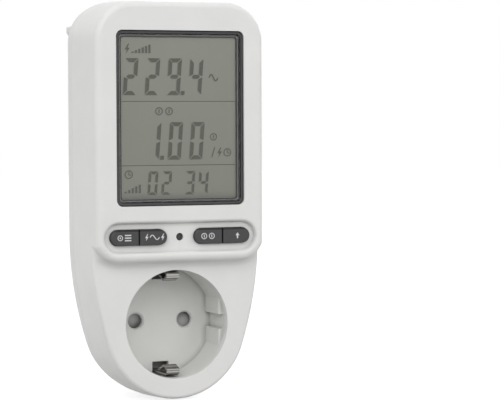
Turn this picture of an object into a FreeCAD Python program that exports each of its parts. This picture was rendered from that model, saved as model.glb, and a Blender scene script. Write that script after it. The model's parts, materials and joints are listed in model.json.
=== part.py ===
import FreeCAD, Part
import math
import os
import re

import Sketcher

# Plug-in energy meter. The frame has +Z up, +X to the right and -Y out of the front.
# The origin lies on the wall plane, on the axis that the plug and the socket share.
# A depth below is measured from the wall plane towards the front, so y = -depth.
# The plug reaches behind the wall plane, where depths are negative.

SIZES = [
    # Housing outline and shells
    ("face_step", 5.0, "raised face to the socket face"),
    ("parting_depth", 13.5, "wall plane to the joint between the shells"),
    ("band_depth", 7.9, "joint to the crease where the front draft starts"),
    ("front_draft", 2.6, "draft of the front shell in degrees"),
    ("rear_draft", 5.0, "draft of the rear cover in degrees"),
    ("top_radius", 14.5, "corner radius at the top"),
    ("socket_rim", 7.8, "rim of the housing round the socket well"),
    ("joint_round", 0.25, "rounding of both shells at the joint"),
    ("shell_wall", 2.2, "wall of the front shell"),
    ("rear_wall", 3.0, "floor of the rear cover"),
    ("rear_round", 9.0, "rounding of the rear edge"),
    ("face_round", 2.2, "rounding of the raised face"),
    ("lower_round", 1.3, "rounding of the socket face"),
    ("step_blend", 2.5, "concave blend at the foot of the step"),
    ("panel_rise", 3.2, "socket well to the lower edge of the raised panel"),
    ("panel_corner", 9.5, "lower corner radius of the raised panel"),
    ("panel_inner_corner", 9.0, "corner radius of the hollow behind the raised panel"),
    ("panel_inner_inset", 2.8, "outline to the hollow behind the raised panel"),
    ("panel_ledge", 2.7, "lower edge of the raised panel to the hollow behind it"),
    ("lip_height", 1.8, "height of the rear cover's lip past the joint"),
    ("lip_thick", 1.1, "thickness of that lip"),
    ("lip_root", 4.5, "length of the lip's root inside the rear cover"),
    ("fit_gap", 0.15, "clearance between parts that fit in each other"),
    ("rest_gap", 0.05, "clearance between parts that lie on each other"),
    ("over", 1.0, "how far a cut runs past the solid"),
    ("pilot_spare", 0.5, "depth of a pilot hole past its screw"),
    # Support nubs at the top of the rear cover
    ("nub_below", 9.7, "top of the housing to the nub's tip"),
    ("nub_rise", 3.3, "tip of the nub to its upper root"),
    ("nub_drop", 3.6, "tip of the nub to its lower root"),
    ("nub_inset", 1.7, "half width to the tip of the nub"),
    ("nub_blunt", 0.9, "half the flat at the tip of the nub"),
    ("nub_root", 7.6, "length of the nub across"),
    ("nub_slope", 1.7, "set-back of the nub's lower root"),
    ("nub_depth", 2.0, "wall plane to the nub's rear face"),
    ("nub_length", 9.0, "length of the nub along the depth"),
    # Display window
    ("window_wide", 48.4, "width of the display opening"),
    ("window_tall", 62.1, "height of the display opening"),
    ("window_side", 8.2, "side of the housing to the display opening"),
    ("window_top", 10.8, "top of the housing to the display opening"),
    ("window_rise", 5.75, "key recess to the display opening"),
    ("window_corner", 2.3, "corner radius of the display opening"),
    ("bezel_recess", 0.7, "raised face to the front of the bezel"),
    ("bezel_rim", 1.1, "width of the bezel's rim around the clear window"),
    ("bezel_lip", 2.4, "opening edge to the visible display"),
    ("bezel_flange", 0.8, "flange of the bezel behind the shell"),
    ("bezel_foot", 1.4, "extra flange at the lower edge"),
    ("bezel_back", 3.1, "raised face to the back of the bezel"),
    ("bezel_edge", 0.35, "rounding of the bezel's front"),
    ("lens_recess", 0.9, "raised face to the front of the clear window"),
    ("lens_thick", 0.9, "thickness of the clear window"),
    ("lens_corner", 1.5, "corner radius of the clear window"),
    ("lens_edge", 0.2, "rounding of the clear window's front edge"),
    ("view_corner", 0.8, "corner radius of the visible display"),
    ("seat_corner", 0.3, "corner radius of the seats for the glass"),
    ("glass_recess", 2.4, "raised face to the front of the display glass"),
    ("glass_thick", 1.1, "thickness of one display glass"),
    ("glass_inset", 1.2, "display opening to the edge of the display glass"),
    ("glass_ledge", 2.8, "contact ledge of the front display glass"),
    ("film_thick", 0.2, "thickness of the reflector film"),
    ("holder_play", 0.2, "clearance of the display holder to the board posts"),
    ("holder_rim", 1.1, "margin of the holder above the glass"),
    ("holder_floor", 2.55, "floor of the display holder"),
    ("holder_corner", 1.2, "corner radius of the display holder"),
    ("light_side", 6.0, "glass edge to the opening in the holder, across"),
    ("light_end", 7.0, "glass edge to the opening in the holder, up and down"),
    ("light_corner", 3.0, "corner radius of that opening"),
    ("zebra_inset", 1.0, "glass edge to the end of the rubber connector"),
    # Boards
    ("board_lift", 2.4, "floor of the rear cover to the back of the power board"),
    ("board_thick", 1.6, "thickness of both boards"),
    ("board_corner", 1.5, "corner radius of both boards"),
    ("board_rise", 5.3, "raised panel's lower edge to the lower edge of both boards"),
    ("board_drop", 0.5, "top of the display opening to the upper edge of both boards"),
    ("power_side", 6.5, "side of the housing to the edge of the power board"),
    ("post_radius", 1.8, "radius of the board posts"),
    ("post_play", 0.3, "clearance of the posts to the bezel"),
    ("post_edge", 1.7, "board posts to the edge of the display board"),
    ("post_rise", 4.4, "bottom of the display opening to the lower board posts"),
    ("post_drop", 6.2, "top of the display opening to the upper board posts"),
    ("foot_radius", 2.3, "radius of the power board posts"),
    ("foot_edge", 4.0, "power board posts to the edge of the board"),
    ("foot_rise", 14.0, "lower edge of the board to the lower posts"),
    ("foot_drop", 7.2, "upper edge of the board to the upper posts"),
    ("small_screw_radius", 0.85, "thread radius of the board screws"),
    ("small_head_radius", 1.6, "head radius of the board screws"),
    ("small_head_thick", 1.0, "head thickness of the board screws"),
    ("small_screw_length", 4.0, "length of the board screws"),
    ("driver_wide", 12.0, "side of the display driver"),
    ("driver_thick", 2.0, "thickness of the display driver"),
    ("driver_rise", 46.0, "lower edge of the board to the display driver"),
    ("driver_corner", 0.5, "corner radius of the display driver"),
    ("driver_bevel", 0.4, "bevel of the display driver"),
    ("crystal_radius", 1.5, "radius of the clock crystal"),
    ("crystal_length", 8.0, "length of the clock crystal"),
    ("crystal_side", 14.0, "clock crystal from the middle"),
    ("crystal_rise", 55.0, "lower edge of the board to the clock crystal"),
    # Keys
    ("recess_rise", 8.7, "lower edge of the raised panel to the middle of the key recess"),
    ("recess_side", 3.6, "side of the housing to the key recess"),
    ("recess_tall", 10.9, "height of the key recess"),
    ("recess_sink", 2.0, "depth of the key recess"),
    ("recess_slope", 14.0, "slope of the recess wall in degrees"),
    ("recess_edge", 1.25, "rounding of the recess edge"),
    ("recess_wall", 2.1, "wall under the key recess"),
    ("recess_margin", 1.8, "backing of the recess past its edge"),
    ("key_shift", 0.2, "middle of the recess up to the middle of the keys"),
    ("slot_side", 2.3, "end of the recess to a key opening"),
    ("slot_wide", 21.4, "width of a key opening"),
    ("slot_tall", 5.8, "height of a key opening"),
    ("key_gap", 0.2, "clearance around a key"),
    ("key_split", 0.35, "gap between the two keys of a pair"),
    ("key_proud", 1.8, "keys above the recess floor"),
    ("key_edge", 0.5, "rounding of the key top"),
    ("key_flange", 0.7, "flange of a key behind its opening"),
    ("key_flange_thick", 0.7, "thickness of that flange"),
    ("key_travel", 0.8, "travel of a key"),
    ("flange_gap", 0.2, "flange of a key to the shell"),
    ("plunger_radius", 2.2, "radius of a key plunger"),
    ("mat_thick", 0.8, "thickness of the rubber mat"),
    ("mat_side", 2.2, "key opening to the end of the rubber mat"),
    ("mat_tall", 9.8, "height of the rubber mat"),
    ("mat_shift", 1.0, "middle of the recess up to the middle of the mat"),
    ("collar_rise", 0.7, "height of the mat's collars"),
    ("collar_wall", 0.8, "wall of the mat's collars"),
    ("reset_shift", 0.1, "middle of the recess up to the reset hole"),
    ("reset_radius", 1.35, "radius of the reset hole"),
    ("reset_play", 0.3, "clearance of the reset button in its hole"),
    ("reset_sink", 0.7, "recess floor to the top of the reset button"),
    ("reset_flange", 0.95, "flange of the reset button past its hole"),
    ("reset_stem", 0.35, "stem of the reset button past its hole"),
    # Socket
    ("well_radius", 19.5, "radius of the socket well"),
    ("well_depth", 17.5, "depth of the socket well"),
    ("well_wall", 1.6, "wall of the socket insert"),
    ("well_floor", 2.2, "floor of the socket insert"),
    ("rib_depth", 2.0, "side of the well to the flats"),
    ("rib_sink", 1.6, "insert rim to the front of the flats"),
    ("rib_round", 0.5, "rounding of the front edge of the flats"),
    ("notch_half", 2.65, "half width of the notch in the flats"),
    ("notch_depth", 0.2, "side of the well to the floor of that notch"),
    ("pitch_half", 9.5, "middle to a plug contact, on the standard pitch"),
    ("hole_play", 0.35, "clearance of a plug contact in its hole"),
    ("hole_lead", 0.6, "lead-in of the holes"),
    ("slot_half", 3.15, "half width of the earth clip slots"),
    ("ear_offset", 3.8, "outside of the socket insert to its screws"),
    ("ear_radius", 3.2, "radius of the insert's ears"),
    ("insert_boss_radius", 2.6, "radius of the bosses for the insert screws"),
    # Shutter
    ("rotor_spare", 3.7, "plug contact to the end of the shutter rotor"),
    ("rotor_cover", 1.25, "edge of the holes to the edge of the shutter rotor"),
    ("rotor_thick", 2.0, "thickness of the shutter rotor"),
    ("rotor_gap", 0.4, "clearance in front of the shutter rotor"),
    ("rotor_play", 0.25, "clearance behind the shutter rotor"),
    ("pivot_radius", 1.5, "radius of the shutter pivot"),
    ("pivot_spare", 0.2, "pivot past the back of the rotor"),
    ("pivot_gap", 0.05, "running clearance on the pivot"),
    ("coil_radius", 2.7, "radius of the shutter spring"),
    ("coil_wire", 0.4, "wire of the shutter spring"),
    ("coil_turns", 2.5, "turns of the shutter spring"),
    ("coil_play", 0.08, "gap between the turns of the shutter spring"),
    ("coil_side", 0.6, "clearance round the shutter spring"),
    ("coil_end", 0.05, "clearance at the end of the shutter spring"),
    ("ramp_start", 4.6, "middle to the inner end of the ramps on the rotor"),
    ("ramp_rise", 1.2, "height of the ramps on the rotor"),
    ("ramp_foot", 2.6, "middle to the foot of the ramps across the rotor"),
    # Contacts
    ("carrier_margin", 1.1, "socket well to the edge of the contact carrier"),
    ("carrier_plate", 2.75, "thickness of the contact carrier's plate"),
    ("carrier_rim", 1.2, "rim of the contact carrier"),
    ("sleeve_play", 0.15, "clearance of a plug contact in its sleeve"),
    ("sleeve_wall", 0.95, "wall of the contact sleeves"),
    ("sleeve_sink", 0.4, "front of the carrier to the front of the sleeves"),
    ("sleeve_length", 15.0, "length of the contact sleeves"),
    ("sleeve_slit", 0.8, "slit in the contact sleeves"),
    ("slit_length", 9.0, "length of the slit"),
    ("collar_width", 0.8, "collar of the contact sleeves"),
    ("tab_wide", 4.0, "width of the current straps"),
    ("tab_reach", 6.0, "lower edge of the power board to the upper end of the current straps"),
    ("strap_thick", 0.8, "thickness of the current straps and the earth strap"),
    ("strap_clear", 6.1, "contact sleeves to the straps inside the plug"),
    # Earth strap
    ("earth_wide", 4.8, "width of the earth strap"),
    ("earth_inset", 0.9, "side of the well to the arms of the earth strap"),
    ("earth_play", 0.1, "contact carrier to the plate of the earth strap"),
    ("clip_swing", 3.6, "arms of the earth strap to the inner end of their slots"),
    ("clip_shoulder", 6.4, "socket face to the shoulder of the earth clips"),
    ("clip_sink", 4.6, "socket face to the front of the earth clips"),
    ("clip_lean", 0.7, "arms of the earth strap to the outer bend of the clips"),
    ("clip_nose", 1.2, "length of the nose of the earth clips"),
    ("clip_bulge", 3.1, "arms of the earth strap to the innermost line of the clips"),
    ("clip_inner", 7.8, "socket face to that line"),
    ("clip_tail", 4.5, "floor of the well to the tail of the clips"),
    ("clip_return", 1.3, "arms of the earth strap to the tail of the clips"),
    # Plug
    ("nose_radius", 18.4, "radius of the plug"),
    ("nose_length", 17.0, "length of the plug behind the wall plane"),
    ("nose_wall", 1.3, "wall of the plug behind the earth recesses"),
    ("nose_end", 3.0, "end wall of the plug"),
    ("nose_edge", 1.2, "rounding of the plug's end"),
    ("flat_depth", 1.4, "side of the plug to its flats"),
    ("flat_reach", 12.0, "height of the cut of the flats"),
    ("guide_half", 2.45, "half width of the guide rib on the flats"),
    ("earth_sink", 1.6, "depth of the earth recesses"),
    ("earth_recess_half", 3.2, "half width of the earth recesses"),
    ("arm_short", 3.5, "end of the plug to the ends of the earth contacts"),
    ("seat_rise", 1.0, "floor of the rear cover to the seat of the plug"),
    ("seat_ring", 1.2, "side of the plug's plate to the edge of its seat"),
    ("plug_plate", 1.5, "thickness of the plug's plate"),
    ("ring_step", 0.2, "contact carrier past the ring that carries it"),
    ("ring_wall", 1.5, "wall of that ring"),
    ("gate_half", 13.0, "half width of the gap in that ring for the current straps"),
    ("gate_depth", 4.3, "depth of that gap"),
    ("ring_notch_half", 3.0, "half width of the notch in that ring for the earth strap"),
    ("ring_notch_depth", 1.6, "depth of that notch"),
    ("prong_radius", 2.4, "radius of the plug's prongs"),
    ("prong_length", 19.0, "length of the plug's prongs"),
    ("prong_tip", 0.2, "flat of the prong tips"),
    ("prong_root", 0.4, "side of a prong to its root in the plug's end wall"),
    ("prong_gap", 0.05, "clearance of the prongs in the plug"),
    ("prong_collar", 1.0, "collar of a prong inside the plug"),
    ("prong_collar_thick", 1.4, "thickness of that collar"),
    ("stud_inset", 0.8, "side of a prong to its inner stud"),
    ("stud_length", 3.7, "length of the inner stud"),
    # Screws
    ("screw_radius", 1.5, "thread radius of the housing screws"),
    ("screw_head_radius", 2.7, "head radius of the housing screws"),
    ("screw_head_thick", 2.0, "head thickness of the housing screws"),
    ("drive_radius", 0.85, "radius of the drive in the housing screws"),
    ("drive_depth", 1.2, "depth of that drive"),
    ("screw_length", 14.0, "length of the housing screws"),
    ("seat_drop", 4.5, "joint to the seat of the screw heads"),
    ("screw_gap", 0.1, "clearance around the screws"),
    ("tube_wall", 0.5, "wall of the rear cover's screw tubes"),
    ("boss_wall", 1.4, "wall of the front shell's screw bosses"),
    ("boss_rise", 2.0, "joint to the ends of the screw bosses"),
    ("top_screw_inset", 11.7, "side of the housing to the upper housing screws"),
    ("top_screw_drop", 6.9, "top of the housing to the upper housing screws"),
    ("low_screw_out", 6.6, "insert screws to the lower housing screws, across"),
    ("low_screw_up", 6.4, "insert screws to the lower housing screws, upward"),
    # Components on the power board
    ("film_wide", 18.0, "width of the film capacitor"),
    ("film_tall", 12.0, "height of the film capacitor"),
    ("film_deep", 14.5, "depth of the film capacitor"),
    ("film_edge", 15.4, "side of the power board to the film capacitor's middle"),
    ("film_space", 3.3, "metering chip to the film capacitor above it"),
    ("film_round", 0.8, "rounding of the film capacitor"),
    ("varistor_radius", 5.0, "radius of the surge absorber"),
    ("varistor_thick", 4.0, "thickness of the surge absorber"),
    ("varistor_edge", 20.4, "side of the power board to the near face of the surge absorber"),
    ("varistor_rise", 55.0, "lower edge of the board to the surge absorber"),
    ("lead_length", 0.6, "board to the body of a component on leads"),
    ("lead_radius", 0.4, "radius of component leads"),
    ("can_radius", 4.0, "radius of the electrolytic capacitors"),
    ("can_length", 12.0, "length of the electrolytic capacitors"),
    ("can_edge", 11.9, "side of the power board to the electrolytic capacitors"),
    ("can_rise", 38.0, "lower edge of the board to the lower electrolytic capacitor"),
    ("can_pitch", 11.0, "pitch of the electrolytic capacitors"),
    ("can_groove", 0.5, "depth of the groove round the foot of the capacitors"),
    ("chip_wide", 7.5, "width of the metering chip"),
    ("chip_tall", 15.4, "height of the metering chip"),
    ("chip_thick", 2.4, "thickness of the metering chip"),
    ("chip_space", 0.75, "dropper resistor to the metering chip beside it"),
    ("chip_rise", 37.0, "lower edge of the board to the metering chip"),
    ("chip_bevel", 0.4, "bevel of the metering chip"),
    ("dropper_radius", 2.5, "radius of the dropper resistor"),
    ("dropper_length", 11.0, "length of the dropper resistor"),
    ("dropper_neck", 0.5, "depth of the dropper resistor between its caps"),
    ("dropper_edge", 6.4, "side of the power board to the dropper resistor's near end"),
    ("dropper_rise", 38.0, "lower edge of the board to the dropper resistor"),
    ("shunt_edge", 8.9, "side of the power board to the middle of the shunt"),
    ("shunt_wide", 5.0, "width of the shunt"),
    ("shunt_start", 9.5, "lower edge of the board to the shunt's lower bend"),
    ("shunt_span", 15.5, "length of the shunt's bridge"),
    ("shunt_foot", 3.0, "length of the shunt's feet"),
    ("shunt_rise", 5.0, "board to the shunt's bridge"),
    ("cell_radius", 5.8, "radius of a backup cell"),
    ("cell_neck", 0.6, "depth of the groove between the backup cells"),
    ("cell_thick", 5.2, "thickness of a backup cell"),
    ("cell_groove", 0.3, "width of that groove"),
    ("cell_side", -6.0, "backup cells from the middle to their near end"),
    ("cell_rise", 17.0, "lower edge of the board to the backup cells"),
    ("link_margin", 1.25, "outer contacts of the board link to the ends of its blocks"),
    ("link_drop", 6.2, "upper edge of the board to the board link"),
    ("link_tall", 2.5, "height of the link's blocks"),
    ("link_block", 2.5, "thickness of the link's lower block"),
    ("link_socket", 8.5, "thickness of the link's upper block"),
    ("link_step", 2.54, "step from contact to contact in the board link"),
    ("link_wire", 0.64, "thickness of the link's contacts"),
    ("link_dip", 3.0, "length of the link's contacts inside the upper block"),
    ("link_play", 0.05, "clearance of the link's contacts in the blocks"),
]

# Sizes that follow from others. Depths run from the wall plane towards the front.
DERIVED = {
    "power_board_depth": "rear_wall + board_lift + board_thick",
    "carrier_depth": "power_board_depth + strap_thick + 2 * rest_gap",
    "plate_front": "carrier_depth + carrier_plate",
    "insert_back": "plate_front + rotor_play + rotor_thick + rotor_gap",
    "floor_depth": "insert_back + well_floor",
    "lower_depth": "floor_depth + well_depth",
    "body_depth": "lower_depth + face_step",
    "board_recess": "glass_recess + 2 * glass_thick + film_thick + holder_floor + 3 * rest_gap",
    "display_board_depth": "body_depth - board_recess",
    "plug_seat": "rear_wall + seat_rise",
    "recess_depth": "body_depth - recess_sink",
    "recess_back": "recess_depth - recess_wall",
    "crease_depth": "parting_depth + band_depth",
    "boss_start": "parting_depth + boss_rise",
    "screw_seat": "parting_depth - seat_drop",
    "bottom_radius": "well_radius + socket_rim",
    "panel_bottom": "well_radius + panel_rise",
    "recess_height": "panel_bottom + recess_rise",
    "key_height": "recess_height + key_shift",
    "mat_height": "recess_height + mat_shift",
    "reset_height": "recess_height + reset_shift",
    "window_low": "recess_height + recess_tall / 2 + window_rise",
    "window_high": "window_low + window_tall",
    "window_height": "window_low + window_tall / 2",
    "top_height": "window_high + window_top",
    "half_width": "window_wide / 2 + window_side",
    "side_start": "panel_bottom + panel_corner",
    "side_radius": "(side_start^2 / (half_width - bottom_radius) + half_width + bottom_radius) / 2",
    "nub_height": "top_height - nub_below",
    "recess_wide": "2 * (half_width - recess_side)",
    "key_pair": "recess_wide / 2 - slot_side - slot_wide / 2",
    "mat_wide": "2 * key_pair + slot_wide + 2 * mat_side",
    "reset_button_radius": "reset_radius - reset_play",
    "reset_flange_radius": "reset_radius + reset_flange",
    "reset_stem_radius": "reset_radius + reset_stem",
    "glass_wide": "window_wide - 2 * glass_inset",
    "glass_tall": "window_tall - 2 * glass_inset",
    "post_side": "window_wide / 2 + bezel_flange + post_play + post_radius",
    "holder_wide": "2 * (post_side - post_radius - holder_play)",
    "board_half_width": "post_side + post_edge",
    "post_low": "window_low + post_rise",
    "post_high": "window_high - post_drop",
    "board_low": "panel_bottom + board_rise",
    "board_high": "window_high - board_drop",
    "power_half_width": "half_width - power_side",
    "foot_side": "power_half_width - foot_edge",
    "foot_low": "board_low + foot_rise",
    "foot_high": "board_high - foot_drop",
    "top_screw_side": "half_width - top_screw_inset",
    "top_screw_height": "top_height - top_screw_drop",
    "ear_side": "(well_radius + well_wall + ear_offset) * sqrt(1 / 2)",
    "low_screw_side": "ear_side + low_screw_out",
    "low_screw_height": "ear_side + low_screw_up",
    "boss_radius": "screw_radius + screw_gap + boss_wall",
    "tube_bore": "screw_head_radius + screw_gap",
    "tube_radius": "tube_bore + tube_wall",
    "carrier_radius": "well_radius + carrier_margin",
    "ring_radius": "carrier_radius - ring_step",
    "rib_half_span": "well_radius - rib_depth",
    "notch_span": "well_radius - notch_depth",
    "hole_radius": "prong_radius + hole_play",
    "rotor_reach": "pitch_half + rotor_spare",
    "rotor_half": "hole_radius + rotor_cover",
    "coil_pitch": "coil_wire + coil_play",
    "coil_seat_radius": "coil_radius + coil_side",
    "coil_seat_depth": "coil_wire + coil_turns * coil_pitch + rest_gap + coil_end - rotor_play",
    "sleeve_bore": "prong_radius + sleeve_play",
    "sleeve_radius": "sleeve_bore + sleeve_wall",
    "collar_radius": "sleeve_radius + collar_width",
    "strap_level": "sleeve_radius + strap_clear",
    "tab_end": "board_low + tab_reach",
    "earth_level": "well_radius - earth_inset",
    "earth_back": "carrier_depth - earth_play - strap_thick / 2",
    "earth_recess": "nose_radius - earth_sink",
    "arm_level": "earth_recess + fit_gap + strap_thick / 2",
    "nose_bore": "earth_recess - nose_wall",
    "flat_half_span": "nose_radius - flat_depth",
    "slot_start": "earth_level - clip_swing",
    "prong_inner": "nose_length - nose_end - rest_gap",
    "stud_end": "prong_inner - prong_collar_thick - stud_length",
    "strap_root": "stud_end - strap_thick / 2 - rest_gap",
    "film_height": "chip_height + chip_tall / 2 + film_space + film_tall / 2",
    "film_side": "film_edge - power_half_width",
    "varistor_side": "power_half_width - varistor_edge",
    "can_side": "power_half_width - can_edge",
    "dropper_side": "dropper_edge - power_half_width",
    "chip_side": "dropper_side + dropper_length + chip_space + chip_wide / 2",
    "shunt_side": "shunt_edge - power_half_width",
    "varistor_height": "board_low + varistor_rise",
    "can_low": "board_low + can_rise",
    "can_high": "can_low + can_pitch",
    "chip_height": "board_low + chip_rise",
    "dropper_height": "board_low + dropper_rise",
    "shunt_low": "board_low + shunt_start",
    "shunt_high": "shunt_low + shunt_span",
    "cell_height": "board_low + cell_rise",
    "cell_core": "cell_radius - cell_neck",
    "cell_pitch": "cell_thick + cell_groove",
    "link_height": "board_high - link_drop",
    "driver_height": "board_low + driver_rise",
    "crystal_height": "board_low + crystal_rise",
}

doc = FreeCAD.newDocument("EnergyMeter")
sheet = doc.addObject("Spreadsheet::Sheet", "Sizes")
for row, (alias, value, note) in enumerate(SIZES, start=1):
    sheet.set("A%d" % row, alias)
    sheet.set("B%d" % row, str(value))
    sheet.set("C%d" % row, note)
    sheet.setAlias("B%d" % row, alias)
doc.recompute()

ALIASES = set(alias for alias, value, note in SIZES)
PARTS = []


def written(match):
    """A word of an expression as the document reads it."""
    name = match.group(0)
    if name in DERIVED:
        return "(" + expr(DERIVED[name]) + ")"
    return "Sizes." + name if name in ALIASES else name


def expr(text):
    """Write an expression over the sheet's aliases and the derived sizes as the document reads it."""
    return re.sub(r"[a-z][a-z_]*", written, text)


def size(text):
    """Value of such an expression."""
    value = sheet.evalExpression(expr(text))
    return float(getattr(value, "Value", value))


def bind(obj, prop, text):
    obj.setExpression(prop, expr(text))


# Sketches


def new_body(name):
    body = doc.addObject("PartDesign::Body", name)
    body.Label = name
    PARTS.append(body)
    return body


def plane(body, role):
    return [feature for feature in body.Origin.OriginFeatures if feature.Role == role][0]


def front_sketch(body, name, depth, x="0", z="0"):
    """Sketch parallel to the front at a depth, with its own origin at x and z."""
    sketch = body.newObject("Sketcher::SketchObject", name)
    sketch.AttachmentSupport = [(plane(body, "XZ_Plane"), "")]
    sketch.MapMode = "FlatFace"
    bind(sketch, "AttachmentOffset.Base.x", x)
    bind(sketch, "AttachmentOffset.Base.y", z)
    bind(sketch, "AttachmentOffset.Base.z", depth)
    return sketch


def side_sketch(body, name, x="0"):
    """Sketch in the plane of Y and Z at a given x."""
    sketch = body.newObject("Sketcher::SketchObject", name)
    sketch.AttachmentSupport = [(plane(body, "YZ_Plane"), "")]
    sketch.MapMode = "FlatFace"
    bind(sketch, "AttachmentOffset.Base.z", x)
    return sketch


def constrain(sketch, text, *args):
    """Add a constraint with a size that an expression sets."""
    index = sketch.addConstraint(Sketcher.Constraint(*args, size(text)))
    bind(sketch, "Constraints[%d]" % index, text)


def point(x, y):
    return FreeCAD.Vector(x, y, 0)


def line(sketch, x0, y0, x1, y1):
    return sketch.addGeometry(Part.LineSegment(point(x0, y0), point(x1, y1)), False)


def arc(sketch, cx, cy, radius, start, end):
    """Arc from the start angle to the end angle, anticlockwise, in degrees."""
    circle = Part.Circle(point(cx, cy), FreeCAD.Vector(0, 0, 1), radius)
    return sketch.addGeometry(Part.ArcOfCircle(circle, math.radians(start), math.radians(end)), False)


def circle(sketch, radius, x="0", z="0"):
    shape = Part.Circle(point(size(x), size(z)), FreeCAD.Vector(0, 0, 1), size(radius))
    geo = sketch.addGeometry(shape, False)
    constrain(sketch, radius, "Radius", geo)
    place(sketch, geo, 3, x, z)
    return geo


def place(sketch, geo, position, x, z):
    """Tie a point of a sketch element to the sketch's origin."""
    constrain(sketch, x, "DistanceX", -1, 1, geo, position)
    constrain(sketch, z, "DistanceY", -1, 1, geo, position)


def polygon(sketch, corners):
    """Closed outline of straight lines through corners given as pairs of expressions."""
    values = [(size(x), size(z)) for x, z in corners]
    first = None
    previous = None
    for index, (x, z) in enumerate(values):
        following = values[(index + 1) % len(values)]
        geo = line(sketch, x, z, following[0], following[1])
        place(sketch, geo, 1, corners[index][0], corners[index][1])
        if previous is not None:
            sketch.addConstraint(Sketcher.Constraint("Coincident", previous, 2, geo, 1))
        else:
            first = geo
        previous = geo
    sketch.addConstraint(Sketcher.Constraint("Coincident", previous, 2, first, 1))


def open_path(sketch, corners):
    """Open run of straight lines through corners given as pairs of expressions."""
    values = [(size(x), size(z)) for x, z in corners]
    previous = None
    for index in range(len(values) - 1):
        geo = line(sketch, *values[index], *values[index + 1])
        place(sketch, geo, 1, corners[index][0], corners[index][1])
        if previous is not None:
            sketch.addConstraint(Sketcher.Constraint("Coincident", previous, 2, geo, 1))
        previous = geo
    place(sketch, previous, 2, corners[-1][0], corners[-1][1])


def rectangle(sketch, x0, z0, x1, z1):
    polygon(sketch, [(x0, z0), (x1, z0), (x1, z1), (x0, z1)])


def join(sketch, chain):
    """Join line and arc ends tangentially, each end given as element and point."""
    for first, first_end, second, second_end in chain:
        sketch.addConstraint(Sketcher.Constraint("Tangent", first, first_end, second, second_end))


def round_rect(sketch, wide, tall, radius):
    """Rectangle with round corners about the sketch's origin."""
    w, t, r = size(wide) / 2, size(tall) / 2, size(radius)
    top = line(sketch, -w + r, t, w - r, t)
    right = line(sketch, w, t - r, w, -t + r)
    bottom = line(sketch, w - r, -t, -w + r, -t)
    left = line(sketch, -w, -t + r, -w, t - r)
    top_right = arc(sketch, w - r, t - r, r, 0, 90)
    low_right = arc(sketch, w - r, -t + r, r, 270, 360)
    low_left = arc(sketch, -w + r, -t + r, r, 180, 270)
    top_left = arc(sketch, -w + r, t - r, r, 90, 180)
    join(sketch, [
        (top, 2, top_right, 2), (top_right, 1, right, 1), (right, 2, low_right, 2), (low_right, 1, bottom, 1),
        (bottom, 2, low_left, 2), (low_left, 1, left, 1), (left, 2, top_left, 2), (top_left, 1, top, 1)])
    across = "(%s) / 2 - (%s)" % (wide, radius)
    upward = "(%s) / 2 - (%s)" % (tall, radius)
    place(sketch, top_right, 3, across, upward)
    place(sketch, low_left, 3, "-(%s)" % across, "-(%s)" % upward)
    constrain(sketch, radius, "Radius", top_right)
    sketch.addConstraint(Sketcher.Constraint("Equal", top_right, low_right))
    sketch.addConstraint(Sketcher.Constraint("Equal", top_right, low_left))
    sketch.addConstraint(Sketcher.Constraint("Equal", top_right, top_left))
    sketch.addConstraint(Sketcher.Constraint("Horizontal", top))


def pill(sketch, wide, tall, x="0"):
    """Slot with round ends about a point on the sketch's X axis."""
    reach, r, cx = size(wide) / 2 - size(tall) / 2, size(tall) / 2, size(x)
    top = line(sketch, cx - reach, r, cx + reach, r)
    bottom = line(sketch, cx + reach, -r, cx - reach, -r)
    right = arc(sketch, cx + reach, 0, r, 270, 450)
    left = arc(sketch, cx - reach, 0, r, 90, 270)
    join(sketch, [(top, 2, right, 2), (right, 1, bottom, 1), (bottom, 2, left, 2), (left, 1, top, 1)])
    place(sketch, right, 3, "(%s) + (%s) / 2 - (%s) / 2" % (x, wide, tall), "0")
    place(sketch, left, 3, "(%s) - (%s) / 2 + (%s) / 2" % (x, wide, tall), "0")
    constrain(sketch, "(%s) / 2" % tall, "Radius", right)


def flat_circle(sketch, radius, half):
    """Circle about the sketch's origin, cut off straight on its left and right."""
    r, h = size(radius), size(half)
    start = math.degrees(math.acos(h / r))
    rise = math.sqrt(r * r - h * h)
    upper = arc(sketch, 0, 0, r, start, 180 - start)
    left = line(sketch, -h, rise, -h, -rise)
    lower = arc(sketch, 0, 0, r, 180 + start, 360 - start)
    right = line(sketch, h, -rise, h, rise)
    for first, first_end, second, second_end in (
            (upper, 2, left, 1), (left, 2, lower, 1), (lower, 2, right, 1), (right, 2, upper, 1)):
        sketch.addConstraint(Sketcher.Constraint("Coincident", first, first_end, second, second_end))
    for geo in (upper, lower):
        place(sketch, geo, 3, "0", "0")
        constrain(sketch, radius, "Radius", geo)
    for geo in (left, right):
        sketch.addConstraint(Sketcher.Constraint("Vertical", geo))
    constrain(sketch, "-(%s)" % half, "DistanceX", -1, 1, left, 1)
    constrain(sketch, half, "DistanceX", -1, 1, right, 1)


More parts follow.
